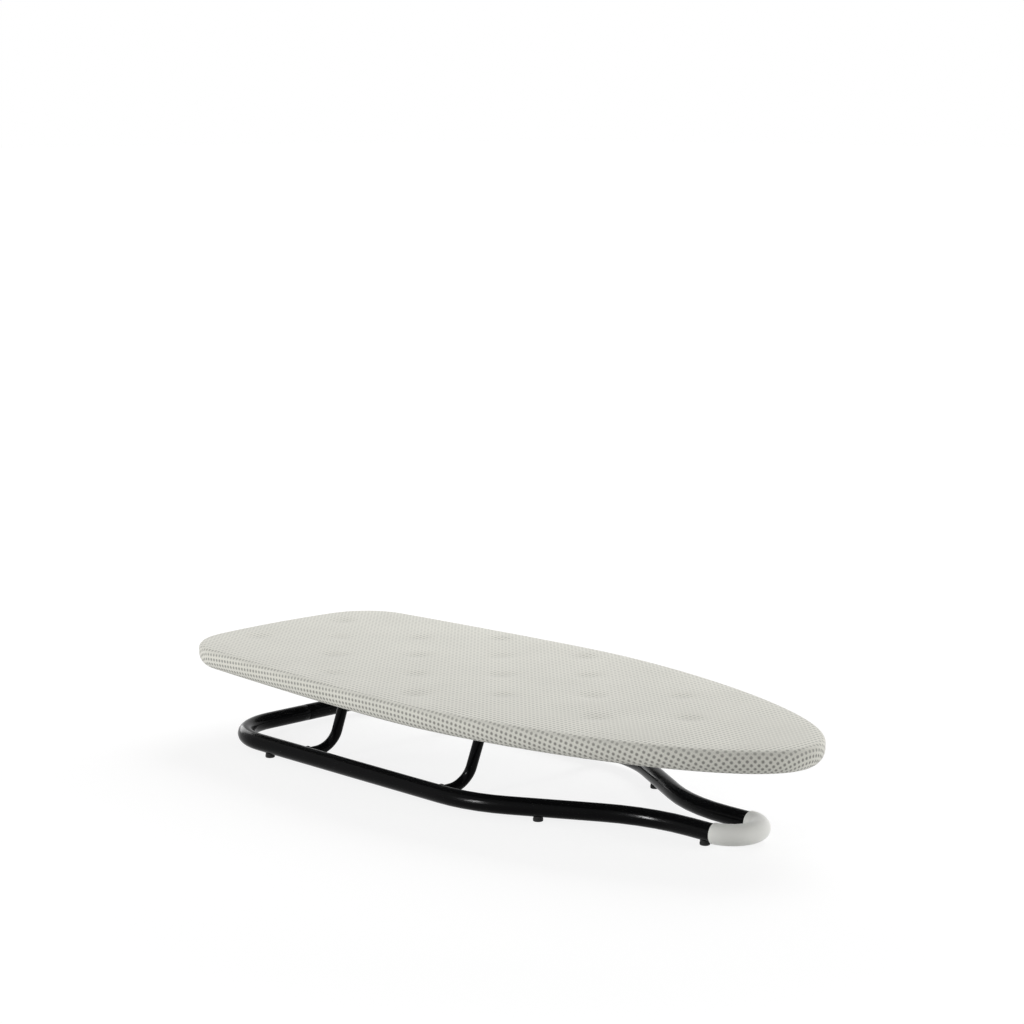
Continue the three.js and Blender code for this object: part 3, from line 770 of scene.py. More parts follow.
def mottled(name, tone, factor, cloud, grain=None, gloss=None, relief=None, speckled=False, **constants):
    """A finish whose colour, gloss and relief vary by soft clouds and a fine grain.

    Cloud and grain each have a size and a detail. The colour runs to a shade of itself by the clouds, and
    by the grain too where it is speckled. Gloss names its pattern, where on it the roughness starts and
    ends, and the roughness at both. Relief is the grain's strength and height.
    """
    material, tree, shader = finish(name, **constants)
    place = add_node(tree, "ShaderNodeTexCoord").outputs["Object"]
    pattern = {}
    for kind, setting in {"cloud": cloud, "grain": grain}.items():
        if setting:
            inputs = {"Vector": place, "Scale": scale_of(setting[0]), "Detail": setting[1]}
            pattern[kind] = add_node(tree, "ShaderNodeTexNoise", inputs).outputs["Fac"]
    mix_by = pattern["cloud"]
    if speckled:
        factors = {0: pattern["grain"], 1: mix_by}
        mix_by = add_node(tree, "ShaderNodeMath", factors, operation="MULTIPLY").outputs[0]
    colours = {"Fac": mix_by, "Color1": shade(tone), "Color2": shade(tone, factor)}
    mixed = add_node(tree, "ShaderNodeMixRGB", colours)
    tree.links.new(mixed.outputs["Color"], shader.inputs["Base Color"])
    if gloss:
        kind, first, last, low, high = gloss
        span = {"Value": pattern[kind], "From Min": first, "From Max": last, "To Min": low, "To Max": high}
        rough = add_node(tree, "ShaderNodeMapRange", span)
        tree.links.new(rough.outputs["Result"], shader.inputs["Roughness"])
    if relief:
        raised = {"Height": pattern["grain"], "Strength": relief[0], "Distance": relief[1]}
        bump = add_node(tree, "ShaderNodeBump", raised)
        tree.links.new(bump.outputs["Normal"], shader.inputs["Normal"])
    return material


def black_powder_coat(colours):
    """Polyester powder coat on steel tube: satin black, with a sprayed coat's faint orange peel.

    Its specular level is about a tenth of a real coat's, so that the white stage doesn't grey the tubes.
    """
    return mottled(
        "black_powder_coat", colours.tube_black, 1.3, cloud=(45 * MM, 3), grain=(2.4 * MM, 2),
        gloss=("cloud", 0.3, 0.7, 0.14, 0.22), relief=(0.25, 0.03 * MM), IOR=1.5, Specular_IOR_Level=0.045,
    )


def white_sleeve_plastic(colours):
    """Soft PVC slipped over the tube: off-white with a soft gloss, a little uneven."""
    return mottled(
        "white_sleeve_plastic", colours.sleeve_white, 0.93, cloud=(14 * MM, 3), grain=(0.9 * MM, 2),
        gloss=("cloud", 0.3, 0.7, 0.3, 0.42), relief=(0.2, 0.02 * MM), IOR=1.53,
    )


def black_rubber(colours):
    """Moulded rubber of the feet: matt, with a fine dusty grain."""
    return mottled(
        "black_rubber", colours.rubber_black, 1.6, cloud=(8 * MM, 2), grain=(0.6 * MM, 3),
        gloss=("grain", 0, 1, 0.7, 0.95), relief=(0.4, 0.05 * MM), IOR=1.5,
    )


def black_nylon(colours):
    """Injection-moulded nylon of bushes and pivot blocks: a spark-eroded grain with a low sheen."""
    return mottled(
        "black_nylon", colours.nylon_black, 1.6, cloud=(8 * MM, 2), grain=(0.4 * MM, 3),
        gloss=("grain", 0, 1, 0.42, 0.62), relief=(0.4, 0.05 * MM), IOR=1.5,
    )


def grey_powder_coat(colours):
    """Silver-grey powder coat on pressed sheet steel: a fine metallic speckle and a low sheen."""
    return mottled(
        "grey_powder_coat", colours.steel_grey, 1.15, cloud=(60 * MM, 4), grain=(0.7 * MM, 2),
        gloss=("grain", 0, 1, 0.36, 0.58), relief=(0.2, 0.03 * MM), speckled=True, Metallic=0.35,
    )


def zinc_plating(colours):
    """Bright zinc plating on steel screws: cool metal, slightly cloudy."""
    return mottled(
        "zinc_plating", colours.zinc, 0.8, cloud=(1.6 * MM, 3), gloss=("cloud", 0, 1, 0.22, 0.42),
        Metallic=1.0,
    )


def sewing_thread(colours):
    """Spun polyester sewing thread: cream, matt, a little uneven along its length."""
    return mottled(
        "sewing_thread", colours.thread_cream, 0.7, cloud=(0.5 * MM, 1), Roughness=0.85, Sheen_Weight=0.2,
    )


def open_cell_foam(colours):
    """Open-cell polyurethane foam: matt cream, pitted all over by its cells."""
    material, tree, shader = finish("open_cell_foam", Roughness=0.95)
    place = add_node(tree, "ShaderNodeTexCoord").outputs["Object"]
    cells = add_node(tree, "ShaderNodeTexVoronoi", {"Vector": place, "Scale": scale_of(1.5 * MM)})
    tone = add_node(
        tree, "ShaderNodeMixRGB",
        {
            "Fac": cells.outputs["Distance"], "Color1": shade(colours.foam_cream, 0.72),
            "Color2": shade(colours.foam_cream),
        },
    )
    bump = add_node(
        tree, "ShaderNodeBump", {"Height": cells.outputs["Distance"], "Strength": 0.8, "Distance": 0.4 * MM},
    )
    tree.links.new(tone.outputs["Color"], shader.inputs["Base Color"])
    tree.links.new(bump.outputs["Normal"], shader.inputs["Normal"])
    return material


def printed_cotton(colours):
    """Plain-weave cotton printed with small dots in straight rows: matt, with a little fuzz and uneven ink.

    The dots and threads follow the cloth as it was cut, so they close up where the edge is gathered. The
    ink is drawn paler on the top than on the side, and a painted shade makes the cloth a little greyer over
    the vents, where it stands for the shading of the pad's hollows; both are matched to the photograph. The
    real threads are too fine to show and are drawn twice as coarse.
    """
    sizes = bpy.context.scene.print_sizes
    material, tree, shader = finish("printed_cotton", Roughness=0.92, Sheen_Weight=0.18, Sheen_Roughness=0.45)
    cut = add_node(tree, "ShaderNodeUVMap", uv_map="flat_cloth").outputs["UV"]
    pitch = (sizes.dot_pitch_along, sizes.dot_pitch_across, 1)
    rows = add_node(
        tree, "ShaderNodeVectorMath", {0: cut, 1: (1 / pitch[0], 1 / pitch[1], 0)}, operation="MULTIPLY",
    )
    cell = add_node(tree, "ShaderNodeVectorMath", {0: rows.outputs[0]}, operation="FRACTION")
    middle = add_node(
        tree, "ShaderNodeVectorMath", {0: cell.outputs[0], 1: (0.5, 0.5, 0)}, operation="SUBTRACT",
    )
    real = add_node(tree, "ShaderNodeVectorMath", {0: middle.outputs[0], 1: pitch}, operation="MULTIPLY")
    away = add_node(tree, "ShaderNodeVectorMath", {0: real.outputs[0]}, operation="LENGTH").outputs["Value"]
    bleed = add_node(tree, "ShaderNodeTexNoise", {"Vector": cut, "Scale": scale_of(1.1 * MM), "Detail": 2.0})
    ragged = add_node(
        tree, "ShaderNodeMath", {0: bleed.outputs["Fac"], 1: INK_BLEED, 2: away}, operation="MULTIPLY_ADD",
    )
    edge = sizes.dot / 2 + INK_BLEED / 2
    ink = add_node(
        tree, "ShaderNodeMapRange",
        {
            "Value": ragged.outputs[0], "From Min": edge - sizes.dot_edge, "From Max": edge + sizes.dot_edge,
            "To Min": 1.0, "To Max": 0.0,
        },
        interpolation_type="SMOOTHSTEP",
    )
    height = add_node(
        tree, "ShaderNodeSeparateXYZ", {0: add_node(tree, "ShaderNodeTexCoord").outputs["Object"]},
    ).outputs["Z"]
    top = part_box("cloth_cover")[1].z
    faded = add_node(
        tree, "ShaderNodeMapRange",
        {
            "Value": height, "From Min": top - INK_FADE_START, "From Max": top - INK_FADE_END,
            "To Min": INK_ON_SIDE, "To Max": INK_ON_TOP,
        },
        interpolation_type="SMOOTHSTEP",
    )
    ink = add_node(
        tree, "ShaderNodeMath", {0: ink.outputs["Result"], 1: faded.outputs["Result"]}, operation="MULTIPLY",
    )
    threads = []
    for way in ("X", "Y"):
        waves = {"Vector": cut, "Scale": WAVE_LENGTH / (2 * sizes.thread_spacing)}
        threads.append(add_node(tree, "ShaderNodeTexWave", waves, bands_direction=way).outputs["Fac"])
    crossing = {0: threads[0], 1: threads[1]}
    weave = add_node(tree, "ShaderNodeMath", crossing, operation="MULTIPLY").outputs[0]
    cloud = add_node(tree, "ShaderNodeTexNoise", {"Vector": cut, "Scale": scale_of(70 * MM), "Detail": 3.0})
    slub = add_node(tree, "ShaderNodeTexNoise", {"Vector": cut, "Scale": scale_of(3 * MM), "Detail": 3.0})
    print_tone = add_node(
        tree, "ShaderNodeMixRGB",
        {"Fac": ink.outputs[0], "Color1": shade(colours.cotton_ground), "Color2": shade(colours.cotton_dot)},
    )
    # Painted shade: the share of the pad's hollow over a vent, which darkens the cloth below
    hollow = add_node(tree, "ShaderNodeAttribute", attribute_name="painted_vent_shade").outputs["Fac"]
    # How light the cloth is by each pattern: where on it that starts and ends, and the light at both. The
    # last row is painted shade: the cloth is drawn darker where the pad sinks over a vent.
    lights = (
        (weave, 0, 1, 0.93, 1.03), (cloud.outputs["Fac"], 0.3, 0.7, 0.965, 1.02),
        (slub.outputs["Fac"], 0.3, 0.7, 0.97, 1.02), (hollow, 0, 1, 1.0, 0.93),
    )
    light = 1.0
    for pattern, first, last, low, high in lights:
        span = {"Value": pattern, "From Min": first, "From Max": last, "To Min": low, "To Max": high}
        part = add_node(tree, "ShaderNodeMapRange", span).outputs["Result"]
        light = add_node(tree, "ShaderNodeMath", {0: light, 1: part}, operation="MULTIPLY").outputs[0]
    tone = add_node(
        tree, "ShaderNodeVectorMath", {0: print_tone.outputs["Color"], "Scale": light}, operation="SCALE",
    )
    bump = add_node(
        tree, "ShaderNodeBump", {"Height": weave, "Strength": 0.35, "Distance": 0.12 * MM},
    )
    tree.links.new(tone.outputs[0], shader.inputs["Base Color"])
    tree.links.new(bump.outputs["Normal"], shader.inputs["Normal"])
    return material


def ribbed_elastic(colours):
    """Knitted elastic tape: close ribs along the tape with a soft matt yarn."""
    material, tree, shader = finish("ribbed_elastic", Roughness=0.9, Sheen_Weight=0.15)
    tape = add_node(tree, "ShaderNodeUVMap", uv_map="flat_cloth").outputs["UV"]
    rib_scale = WAVE_LENGTH / (0.9 * MM)
    ribs = add_node(tree, "ShaderNodeTexWave", {"Vector": tape, "Scale": rib_scale}, bands_direction="Y")
    tone = add_node(
        tree, "ShaderNodeMixRGB",
        {
            "Fac": ribs.outputs["Fac"], "Color1": shade(colours.elastic_white, 0.7),
            "Color2": shade(colours.elastic_white),
        },
    )
    bump = add_node(
        tree, "ShaderNodeBump", {"Height": ribs.outputs["Fac"], "Strength": 0.6, "Distance": 0.2 * MM},
    )
    tree.links.new(tone.outputs["Color"], shader.inputs["Base Color"])
    tree.links.new(bump.outputs["Normal"], shader.inputs["Normal"])
    return material


# Places on the base


def rail_height():
    return PIVOTS["rear_hoop_fold"].z


def taper_lengths(sizes):
    """Length of the straight between a rail's two taper bends, and where the second bend ends."""
    bends = sizes.taper_first_bend + sizes.taper_second_bend
    draw_in = (sizes.rail_spacing - sizes.loop_width) / 2 - bends * (1 - math.cos(sizes.taper_angle))
    straight = draw_in / math.sin(sizes.taper_angle)
    end = sizes.taper_start + bends * math.sin(sizes.taper_angle) + straight * math.cos(sizes.taper_angle)
    return straight, end


def foot_places(sizes):
    """Place and tube heading of each foot, by its CAD node's name."""
    turn = sizes.taper_angle
    half_rails = sizes.rail_spacing / 2
    bend, along = sizes.taper_first_bend, sizes.middle_foot_along
    middle_x = sizes.taper_start + bend * math.sin(turn) + along * math.cos(turn)
    drawn_in = bend * (1 - math.cos(turn)) + along * math.sin(turn)
    spots = {
        "rear": (sizes.rear_foot_at, half_rails, 0),
        "middle": (middle_x, half_rails - drawn_in, -turn),
        "nose": (sizes.nose_foot_at, sizes.loop_width / 2, 0),
    }
    places = {}
    for side_name, side in SIDES.items():
        for spot_name, (x, y, heading) in spots.items():
            place = Vector((from_square_end(x), side * y, 0))
            places[f"foot_{spot_name}_{side_name}"] = (place, side * heading)
    return places


# Operators, one for each piece or group of like pieces


class MakeBaseTube(bpy.types.Operator):
    """Bend the base tube from its seam round to its seam and drill it for hoops and feet"""

    bl_idname = "ironing_board.base_tube"
    bl_label = "Base tube"

    def execute(self, context):
        sizes, hoops = context.scene.base_sizes, context.scene.hoop_sizes
        half_rails = sizes.rail_spacing / 2
        half_loop = sizes.loop_width / 2
        taper_run, taper_end = taper_lengths(sizes)
        bar_half = half_rails - sizes.rail_corner - sizes.seam_gap / 2
        side_run = sizes.taper_start - sizes.end_bar_at - sizes.rail_corner
        loop_run = sizes.loop_centre_at - taper_end
        out = [
            bar_half, (sizes.rail_corner, QUARTER), side_run, (sizes.taper_first_bend, sizes.taper_angle),
            taper_run, (sizes.taper_second_bend, -sizes.taper_angle), loop_run,
        ]
        route = out + [(half_loop, 2 * QUARTER)] + out[::-1]
        seam = Vector((from_square_end(sizes.end_bar_at), -sizes.seam_gap / 2, rail_height()))
        tube = bent_tube("base_loop_tube", sizes.rail_tube / 2, sizes.rail_wall, seam, -ACROSS, UP, route)
        drills = []
        for name, (place, _) in foot_places(sizes).items():
            drills.append(rod(name + "_drill", sizes.foot_stem / 2 + FIT, place, place + rail_height() * UP))
        barrel = hoops.tube / 2 + RUNNING_FIT + sizes.bush_wall
        for joint in HOOPS.values():
            for side in SIDES.values():
                low = PIVOTS[joint].copy()
                high = low + side * half_rails * ACROSS
                drills.append(rod(f"{joint}_drill", barrel + FIT, low, high, ACROSS))
        combine(tube, joined(drills), "DIFFERENCE")
        round_edges(tube, TUBE_EDGE)
        hand_over(tube, black_powder_coat, "base", "black_tube", "base_tube")
        return {"FINISHED"}


class MakeSleeve(bpy.types.Operator):
    """Slip the plastic sleeve over the hanging loop"""

    bl_idname = "ironing_board.sleeve"
    bl_label = "Loop sleeve"

    def execute(self, context):
        sizes = context.scene.base_sizes
        half_loop = sizes.loop_width / 2
        radius = sizes.rail_tube / 2 + sizes.sleeve_fit + sizes.sleeve_wall
        centre = Vector((from_square_end(sizes.loop_centre_at), 0, rail_height()))
        turned_by = Matrix.Rotation(sizes.sleeve_start, 3, "Z")
        place = centre - half_loop * (turned_by @ ACROSS)
        heading = turned_by @ ALONG
        route = [(half_loop, sizes.sleeve_turn)]
        sleeve = bent_tube("hanging_loop_sleeve", radius, sizes.sleeve_wall, place, heading, UP, route)
        round_edges(sleeve, SLEEVE_EDGE, segments=3)
        hand_over(sleeve, white_sleeve_plastic, "base", "white_sleeve", "loop_sleeve")
        return {"FINISHED"}


class MakeFeet(bpy.types.Operator):
    """Turn one rubber foot and push a copy into each hole under the base tube"""

    bl_idname = "ironing_board.feet"
    bl_label = "Feet"

    def execute(self, context):
        sizes = context.scene.base_sizes
        radius = sizes.foot_diameter / 2
        bore_z = rail_height() - sizes.rail_tube / 2 + sizes.rail_wall
        stem = sizes.foot_stem / 2 - FIT
        pad = turned(
            "foot_pattern",
            [
                (0.42 * radius, 0.5 * MM), (0.62 * radius, 0.5 * MM), (0.68 * radius, 0),
                (0.86 * radius, 0), (0.95 * radius, 0.22 * MM), (radius, 0.75 * MM),
                (radius, 0.62 * sizes.foot_height), (0.94 * radius, 0.7 * sizes.foot_height),
                (0.94 * radius, rail_height()),
            ],
        )
        groove = rod(
            "saddle", sizes.rail_tube / 2 + FIT, Vector((-sizes.rail_tube, 0, rail_height())),
            Vector((sizes.rail_tube, 0, rail_height())), ALONG,
        )
        combine(pad, groove, "DIFFERENCE")
        plug = turned(
            "foot_stem",
            [
                (stem, 0.5 * sizes.foot_height), (stem, bore_z + 0.5 * MM),
                (stem + 0.9 * MM, bore_z + 0.8 * MM), (stem + 0.9 * MM, bore_z + 1.4 * MM),
                (0.6 * stem, bore_z + 3.4 * MM),
            ],
        )
        combine(pad, plug, "UNION")
        round_edges(pad, FOOT_EDGE, limit=50)
        for node, (place, heading) in foot_places(sizes).items():
            foot = moved(copied(pad, f"rubber_{node}"), place, Matrix.Rotation(heading, 3, "Z"))
            hand_over(foot, black_rubber, "base", "black_rubber", node)
        bpy.data.objects.remove(pad)
        return {"FINISHED"}


class MakeBushes(bpy.types.Operator):
    """Turn one bush with its collar cut to the rail and set a copy at each end of the hoops"""

    bl_idname = "ironing_board.bushes"
    bl_label = "Pivot bushes"

    def execute(self, context):
        sizes, hoops = context.scene.base_sizes, context.scene.hoop_sizes
        half_rails = sizes.rail_spacing / 2
        bore = hoops.tube / 2 + RUNNING_FIT
        face = half_rails - sizes.rail_tube / 2 - sizes.collar_length
        outer = bore + sizes.collar_wall
        collar = turned(
            "collar_pattern",
            [
                (bore + 0.4 * MM, face), (outer - 0.9 * MM, face), (outer - 0.25 * MM, face + 0.3 * MM),
                (outer, face + 0.9 * MM), (outer, half_rails), (bore, half_rails), (bore, face + 0.4 * MM),
            ],
            ring=True,
        )
        low = Vector((0, -2 * sizes.rail_tube, half_rails))
        high = Vector((0, 2 * sizes.rail_tube, half_rails))
        rail = rod("rail_cutter", sizes.rail_tube / 2 + FIT, low, high, ACROSS)
        combine(collar, rail, "DIFFERENCE")
        barrel_end = half_rails - sizes.bush_end
        barrel = turned(
            "barrel",
            [
                (bore, face + 0.4 * MM), (bore + sizes.bush_wall, face + 0.4 * MM),
                (bore + sizes.bush_wall, barrel_end), (bore, barrel_end),
            ],
            ring=True,
        )
        combine(collar, barrel, "UNION")
        hug = rod("collar_cutter", sizes.rail_tube / 2 + sizes.collar_length, low, high, ACROSS)
        combine(collar, hug, "INTERSECT")
        for hoop, joint in HOOPS.items():
            for side_name, side in SIDES.items():
                node = f"pivot_bush_{hoop}_{side_name}"
                turn = Matrix.Rotation(-side * QUARTER, 3, "X")
                bush = moved(copied(collar, f"nylon_{node}"), PIVOTS[joint], turn)
                hand_over(bush, black_nylon, "base", "black_plastic", node)
        bpy.data.objects.remove(collar)
        return {"FINISHED"}


class DressPlug(bpy.types.Operator):
    """Give the plug inside the tube's seam its finish"""

    bl_idname = "ironing_board.plug"
    bl_label = "Seam plug"

    def execute(self, context):
        plug = frame["nodes"]["joint_plug"]
        plug.data.materials.clear()
        plug.data.materials.append(known_finish(black_nylon))
        return {"FINISHED"}


class MakeHoops(bpy.types.Operator):
    """Bend the two folding hoops between the rails and the board"""

    bl_idname = "ironing_board.hoops"
    bl_label = "Folding hoops"

    def execute(self, context):
        sizes, base = context.scene.hoop_sizes, context.scene.base_sizes
        leg = PIVOTS["board_level"] - PIVOTS["rear_hoop_fold"]
        up = leg.normalized()
        end_half = base.rail_spacing / 2 - sizes.end_from_rail
        end_run = end_half - sizes.arm_spacing / 2 - sizes.bend
        arm_run = leg.length - 2 * sizes.bend
        rise = [end_run, (sizes.bend, QUARTER), arm_run, (sizes.bend, -QUARTER)]
        fall = [(sizes.bend, -QUARTER), arm_run, (sizes.bend, QUARTER), end_run]
        route = rise + [sizes.arm_spacing - 2 * sizes.bend] + fall
        for hoop, joint in HOOPS.items():
            foot = PIVOTS[joint] - end_half * ACROSS
            tube = bent_tube(
                f"{hoop}_hoop_tube", sizes.tube / 2, sizes.wall, foot, ACROSS, ACROSS.cross(up), route,
            )
            round_edges(tube, TUBE_EDGE)
            hand_over(tube, black_powder_coat, f"{hoop}_hoop", "black_tube", f"{hoop}_hoop")
        return {"FINISHED"}


def outline_plate(name, sizes, inset, height):
    """A flat face of the board's outline, open in edit mode: a filled circle drawn out to the outline."""
    outline = Outline(sizes, SHEET_POINTS).inset(inset)
    plate = start(
        bpy.ops.mesh.primitive_circle_add, name, vertices=SHEET_POINTS, radius=sizes.width / 2,
        fill_type="NGON",
    )
    shape = bmesh.from_edit_mesh(plate.data)
    shape.verts.ensure_lookup_table()
    for vertex, (x, y) in zip(shape.verts, outline):
        vertex.co = (x, y, height)
    bmesh.update_edit_mesh(plate.data)
    return plate


class MakePanel(bpy.types.Operator):
    """Press the steel panel and punch its vents"""

    bl_idname = "ironing_board.panel"
    bl_label = "Steel panel"

    def execute(self, context):
        sizes = context.scene.board_sizes
        low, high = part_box("steel_panel")
        panel = outline_plate("vented_steel_panel", sizes, sizes.panel_inset, low.z)
        extrude((0, 0, high.z - low.z))
        close_up(panel)
        punches = []
        for number, (x, y) in enumerate(vent_centres(sizes)):
            foot = Vector((x, y, low.z - 1 * MM))
            punches.append(rod(f"punch_{number}", sizes.vent_diameter / 2, foot, foot + 4 * MM * UP))
        combine(panel, joined(punches), "DIFFERENCE")
        round_edges(panel, SHEET_EDGE)
        hand_over(panel, grey_powder_coat, "board", "grey_steel", "steel_panel", flat_faces=True)
        return {"FINISHED"}


class MakeRim(bpy.types.Operator):
    """Roll the steel rim round the panel's edge: a flange, a wall, a rolled bottom and a turned-in edge"""

    bl_idname = "ironing_board.rim"
    bl_label = "Rolled rim"

    def execute(self, context):
        sizes = context.scene.board_sizes
        low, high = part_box("rolled_rim")
        skin = sizes.cover_thickness + sizes.seat
        roll = sizes.under_edge - skin
        roll_start = low.z + roll
        rim = outline_plate("rolled_steel_rim", sizes, skin, roll_start)
        extrude((0, 0, high.z - roll_start))
        bpy.ops.mesh.inset(thickness=sizes.rim_flange, use_even_offset=True)
        bpy.ops.mesh.delete(type="FACE")
        face_out()
        pick_faces(rim, lambda centre, normal: abs(centre.z - roll_start) < FIT)
        steps = 8
        for step in range(steps):
            turn = QUARTER * (step + 1) / steps
            extrude((0, 0, -roll / steps))
            self.draw_in(rim, sizes, skin, roll, turn, roll_start - roll * math.sin(turn))
        bpy.ops.mesh.inset(thickness=sizes.rim_return, use_even_offset=True)
        bpy.ops.mesh.delete(type="FACE")
        close_up(rim)
        apply_modifier(rim, "SOLIDIFY", thickness=sizes.rim_wall, offset=-1, use_even_offset=True)
        round_edges(rim, TUBE_EDGE)
        hand_over(rim, grey_powder_coat, "board", "grey_steel", "rolled_rim", flat_faces=True)
        return {"FINISHED"}

    def draw_in(self, rim, sizes, skin, roll, turn, height):
        """Set the ring that was just extruded on the roll's round."""
        outline = Outline(sizes, SHEET_POINTS).inset(skin + roll * (1 - math.cos(turn)))
        shape = bmesh.from_edit_mesh(rim.data)
        ring = [vertex for vertex in shape.verts if vertex.select]
        for vertex in ring:
            away = outline - np.array(vertex.co.xy)
            x, y = outline[np.argmin((away**2).sum(axis=1))]
            vertex.co = (x, y, height)
        bmesh.update_edit_mesh(rim.data)


class MakeChannels(bpy.types.Operator):
    """Fold the two cross channels: a web, two walls and two lips, drilled for the screws"""

    bl_idname = "ironing_board.channels"
    bl_label = "Cross channels"

    def execute(self, context):
        sizes, hoops = context.scene.board_sizes, context.scene.hoop_sizes
        for hoop in HOOPS:
            node = f"cross_channel_{hoop}"
            low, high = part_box(node)
            middle = (low + high) / 2
            web = sizes.channel_web / 2
            channel = sized(
                bpy.ops.mesh.primitive_plane_add, f"folded_{node}", (middle.x, 0, low.z),
                (sizes.channel_web, high.y - low.y, 1),
            )
            for side in (-1, 1):
                edge_x = middle.x + side * web
                pick_edges(channel, lambda a, b: max(abs(a.x - edge_x), abs(b.x - edge_x), a.z - low.z) < FIT)
                extrude((0, 0, high.z - low.z - sizes.channel_wall))
                extrude((side * sizes.channel_lip, 0, 0))
            folds = (middle.x - web, middle.x + web)
            pick_edges(
                channel, lambda a, b: abs(a.x - b.x) < FIT and min(abs(a.x - fold) for fold in folds) < FIT
                and abs(a.z - b.z) < FIT,
            )
            bpy.ops.mesh.bevel(offset=2 * MM, segments=4, affect="EDGES")
            face_out()
            self.face_down(channel)
            apply_modifier(channel, "SOLIDIFY", thickness=sizes.channel_wall, offset=-1, use_even_offset=True)
            drills = []
            for name, (x, y) in screw_places(hoops, hoop).items():
                foot = Vector((x, y, low.z - 3 * MM))
                drills.append(rod(f"{name}_drill", hoops.screw_shank / 2 + FIT, foot, foot + 8 * MM * UP))
            combine(channel, joined(drills), "DIFFERENCE")
            round_edges(channel, SHEET_EDGE)
            hand_over(channel, grey_powder_coat, "board", "grey_steel", node, flat_faces=True)
        return {"FINISHED"}

    def face_down(self, channel):
        """Turn the sheet so that its outer face, the web's underside, faces down."""
        shape = bmesh.from_edit_mesh(channel.data)
        shape.normal_update()
        web = min(shape.faces, key=lambda face: (round(face.calc_center_median().z, 6), -face.calc_area()))
        if web.normal.z > 0:
            bpy.ops.mesh.flip_normals()
        take(channel)


def board_pivot(hoop):
    """Where a hoop's top run turns under the board."""
    return PIVOTS[HOOPS[hoop]] + (PIVOTS["board_level"] - PIVOTS["rear_hoop_fold"])


def screw_places(sizes, hoop):
    """Place of each screw through the pivot blocks of a hoop, by its CAD node's name."""
    saddle = sizes.tube / 2 + sizes.pivot_fit + sizes.block_wall
    reach = saddle + sizes.block_ear / 2
    pivot = board_pivot(hoop)
    places = {}
    for side_name, side in SIDES.items():
        for end_name, end in {"back": -1, "fore": 1}.items():
            node = f"screw_{hoop}_{side_name}_{end_name}"
            places[node] = (pivot.x + end * reach, side * sizes.block_centre)
    return places


class MakeBlocks(bpy.types.Operator):
    """Mould the pivot blocks, each a saddle with ears and a stop heel, over the hoops' top runs"""

    bl_idname = "ironing_board.blocks"
    bl_label = "Pivot blocks"

    def execute(self, context):
        sizes = context.scene.hoop_sizes
        for hoop in HOOPS:
            for side_name, side in SIDES.items():
                node = f"pivot_block_{hoop}_{side_name}"
                block = self.block(f"nylon_{node}", sizes, hoop)
                if side < 0:
                    mirrored_across(block)
                hand_over(block, black_nylon, "board", "black_plastic", node, flat_faces=True)
        return {"FINISHED"}

    def block(self, name, sizes, hoop):
        """The block on the far side of a hoop."""
        pivot = board_pivot(hoop)
        low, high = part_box(f"pivot_block_{hoop}_far")
        slot = sizes.tube / 2 + RUNNING_FIT
        saddle = sizes.tube / 2 + sizes.pivot_fit + sizes.block_wall
        ear_z = high.z - sizes.block_ear_thickness
        wall = saddle - slot
        place = (pivot.x + slot + wall / 2, sizes.block_centre, pivot.z)
        block = sized(bpy.ops.mesh.primitive_plane_add, name, place, (wall, sizes.block_width, 1))
        bpy.ops.mesh.spin(steps=20, angle=2 * QUARTER, center=(pivot.x, 0, pivot.z), axis=-ACROSS)
        bpy.ops.mesh.select_all(action="SELECT")
        bpy.ops.mesh.remove_doubles(threshold=FIT / 10)
        face_out()
        pick_faces(block, lambda centre, normal: abs(centre.z - pivot.z) < FIT and abs(normal.z) > 0.9)
        extrude((0, 0, ear_z - pivot.z))
        extrude((0, 0, high.z - ear_z))
        face_out()
        for end in (-1, 1):
            pick_faces(
                block,
                lambda centre, normal: end * normal.x > 0.9 and centre.z > ear_z
                and abs(centre.x - pivot.x - end * saddle) < FIT,
            )
            extrude((end * sizes.block_ear, 0, 0))
        close_up(block)
        combine(block, self.heel(sizes, pivot, high.z, saddle), "UNION")
        drills = []
        for screw, (x, y) in screw_places(sizes, hoop).items():
            if y > 0:
                foot = Vector((x, y, low.z))
                drills.append(rod(screw, sizes.screw_shank / 2 + FIT, foot, foot + 2 * (high.z - low.z) * UP))
        combine(block, joined(drills), "DIFFERENCE")
        open_all(block)
        bpy.ops.mesh.dissolve_limited(angle_limit=math.radians(0.2))
        round_edges(block, sizes.block_rounding, segments=3, limit=35, clamped=False)
        return block

    def heel(self, sizes, pivot, top, saddle):
        """The heel that stops the hoop's shoulder, with the ear that ties it to the saddle."""
        leg = (PIVOTS["board_level"] - PIVOTS["rear_hoop_fold"]).normalized()
        clear = sizes.tube / 2 + sizes.pivot_fit
        inner = sizes.block_centre + sizes.block_width / 2
        outer = sizes.arm_spacing / 2 + sizes.tube / 2
        stop_z = pivot.z - sizes.stop_depth
        back = pivot.x - sizes.stop_back
        heel = sized(
            bpy.ops.mesh.primitive_cube_add, "stop_heel", (back, (inner + outer) / 2, (stop_z + top) / 2),
            (1 * MM, outer - inner, top - stop_z),
        )
        shape = bmesh.from_edit_mesh(heel.data)
        for vertex in shape.verts:
            face_x = pivot.x + ((vertex.co.z - pivot.z) * leg.x - clear) / leg.z
            vertex.co.x = face_x if vertex.co.x > back else back
        bmesh.update_edit_mesh(heel.data)
        close_up(heel)
        tie_low = top - sizes.block_ear_thickness
        tie_from = inner - sizes.block_width / 4
        tie = sized(
            bpy.ops.mesh.primitive_cube_add, "heel_tie",
            ((back + pivot.x - saddle) / 2, (tie_from + outer) / 2, (top + tie_low) / 2),
            (pivot.x - saddle - back, outer - tie_from - FIT, top - tie_low),
        )
        close_up(tie)
        combine(heel, tie, "UNION")
        return heel


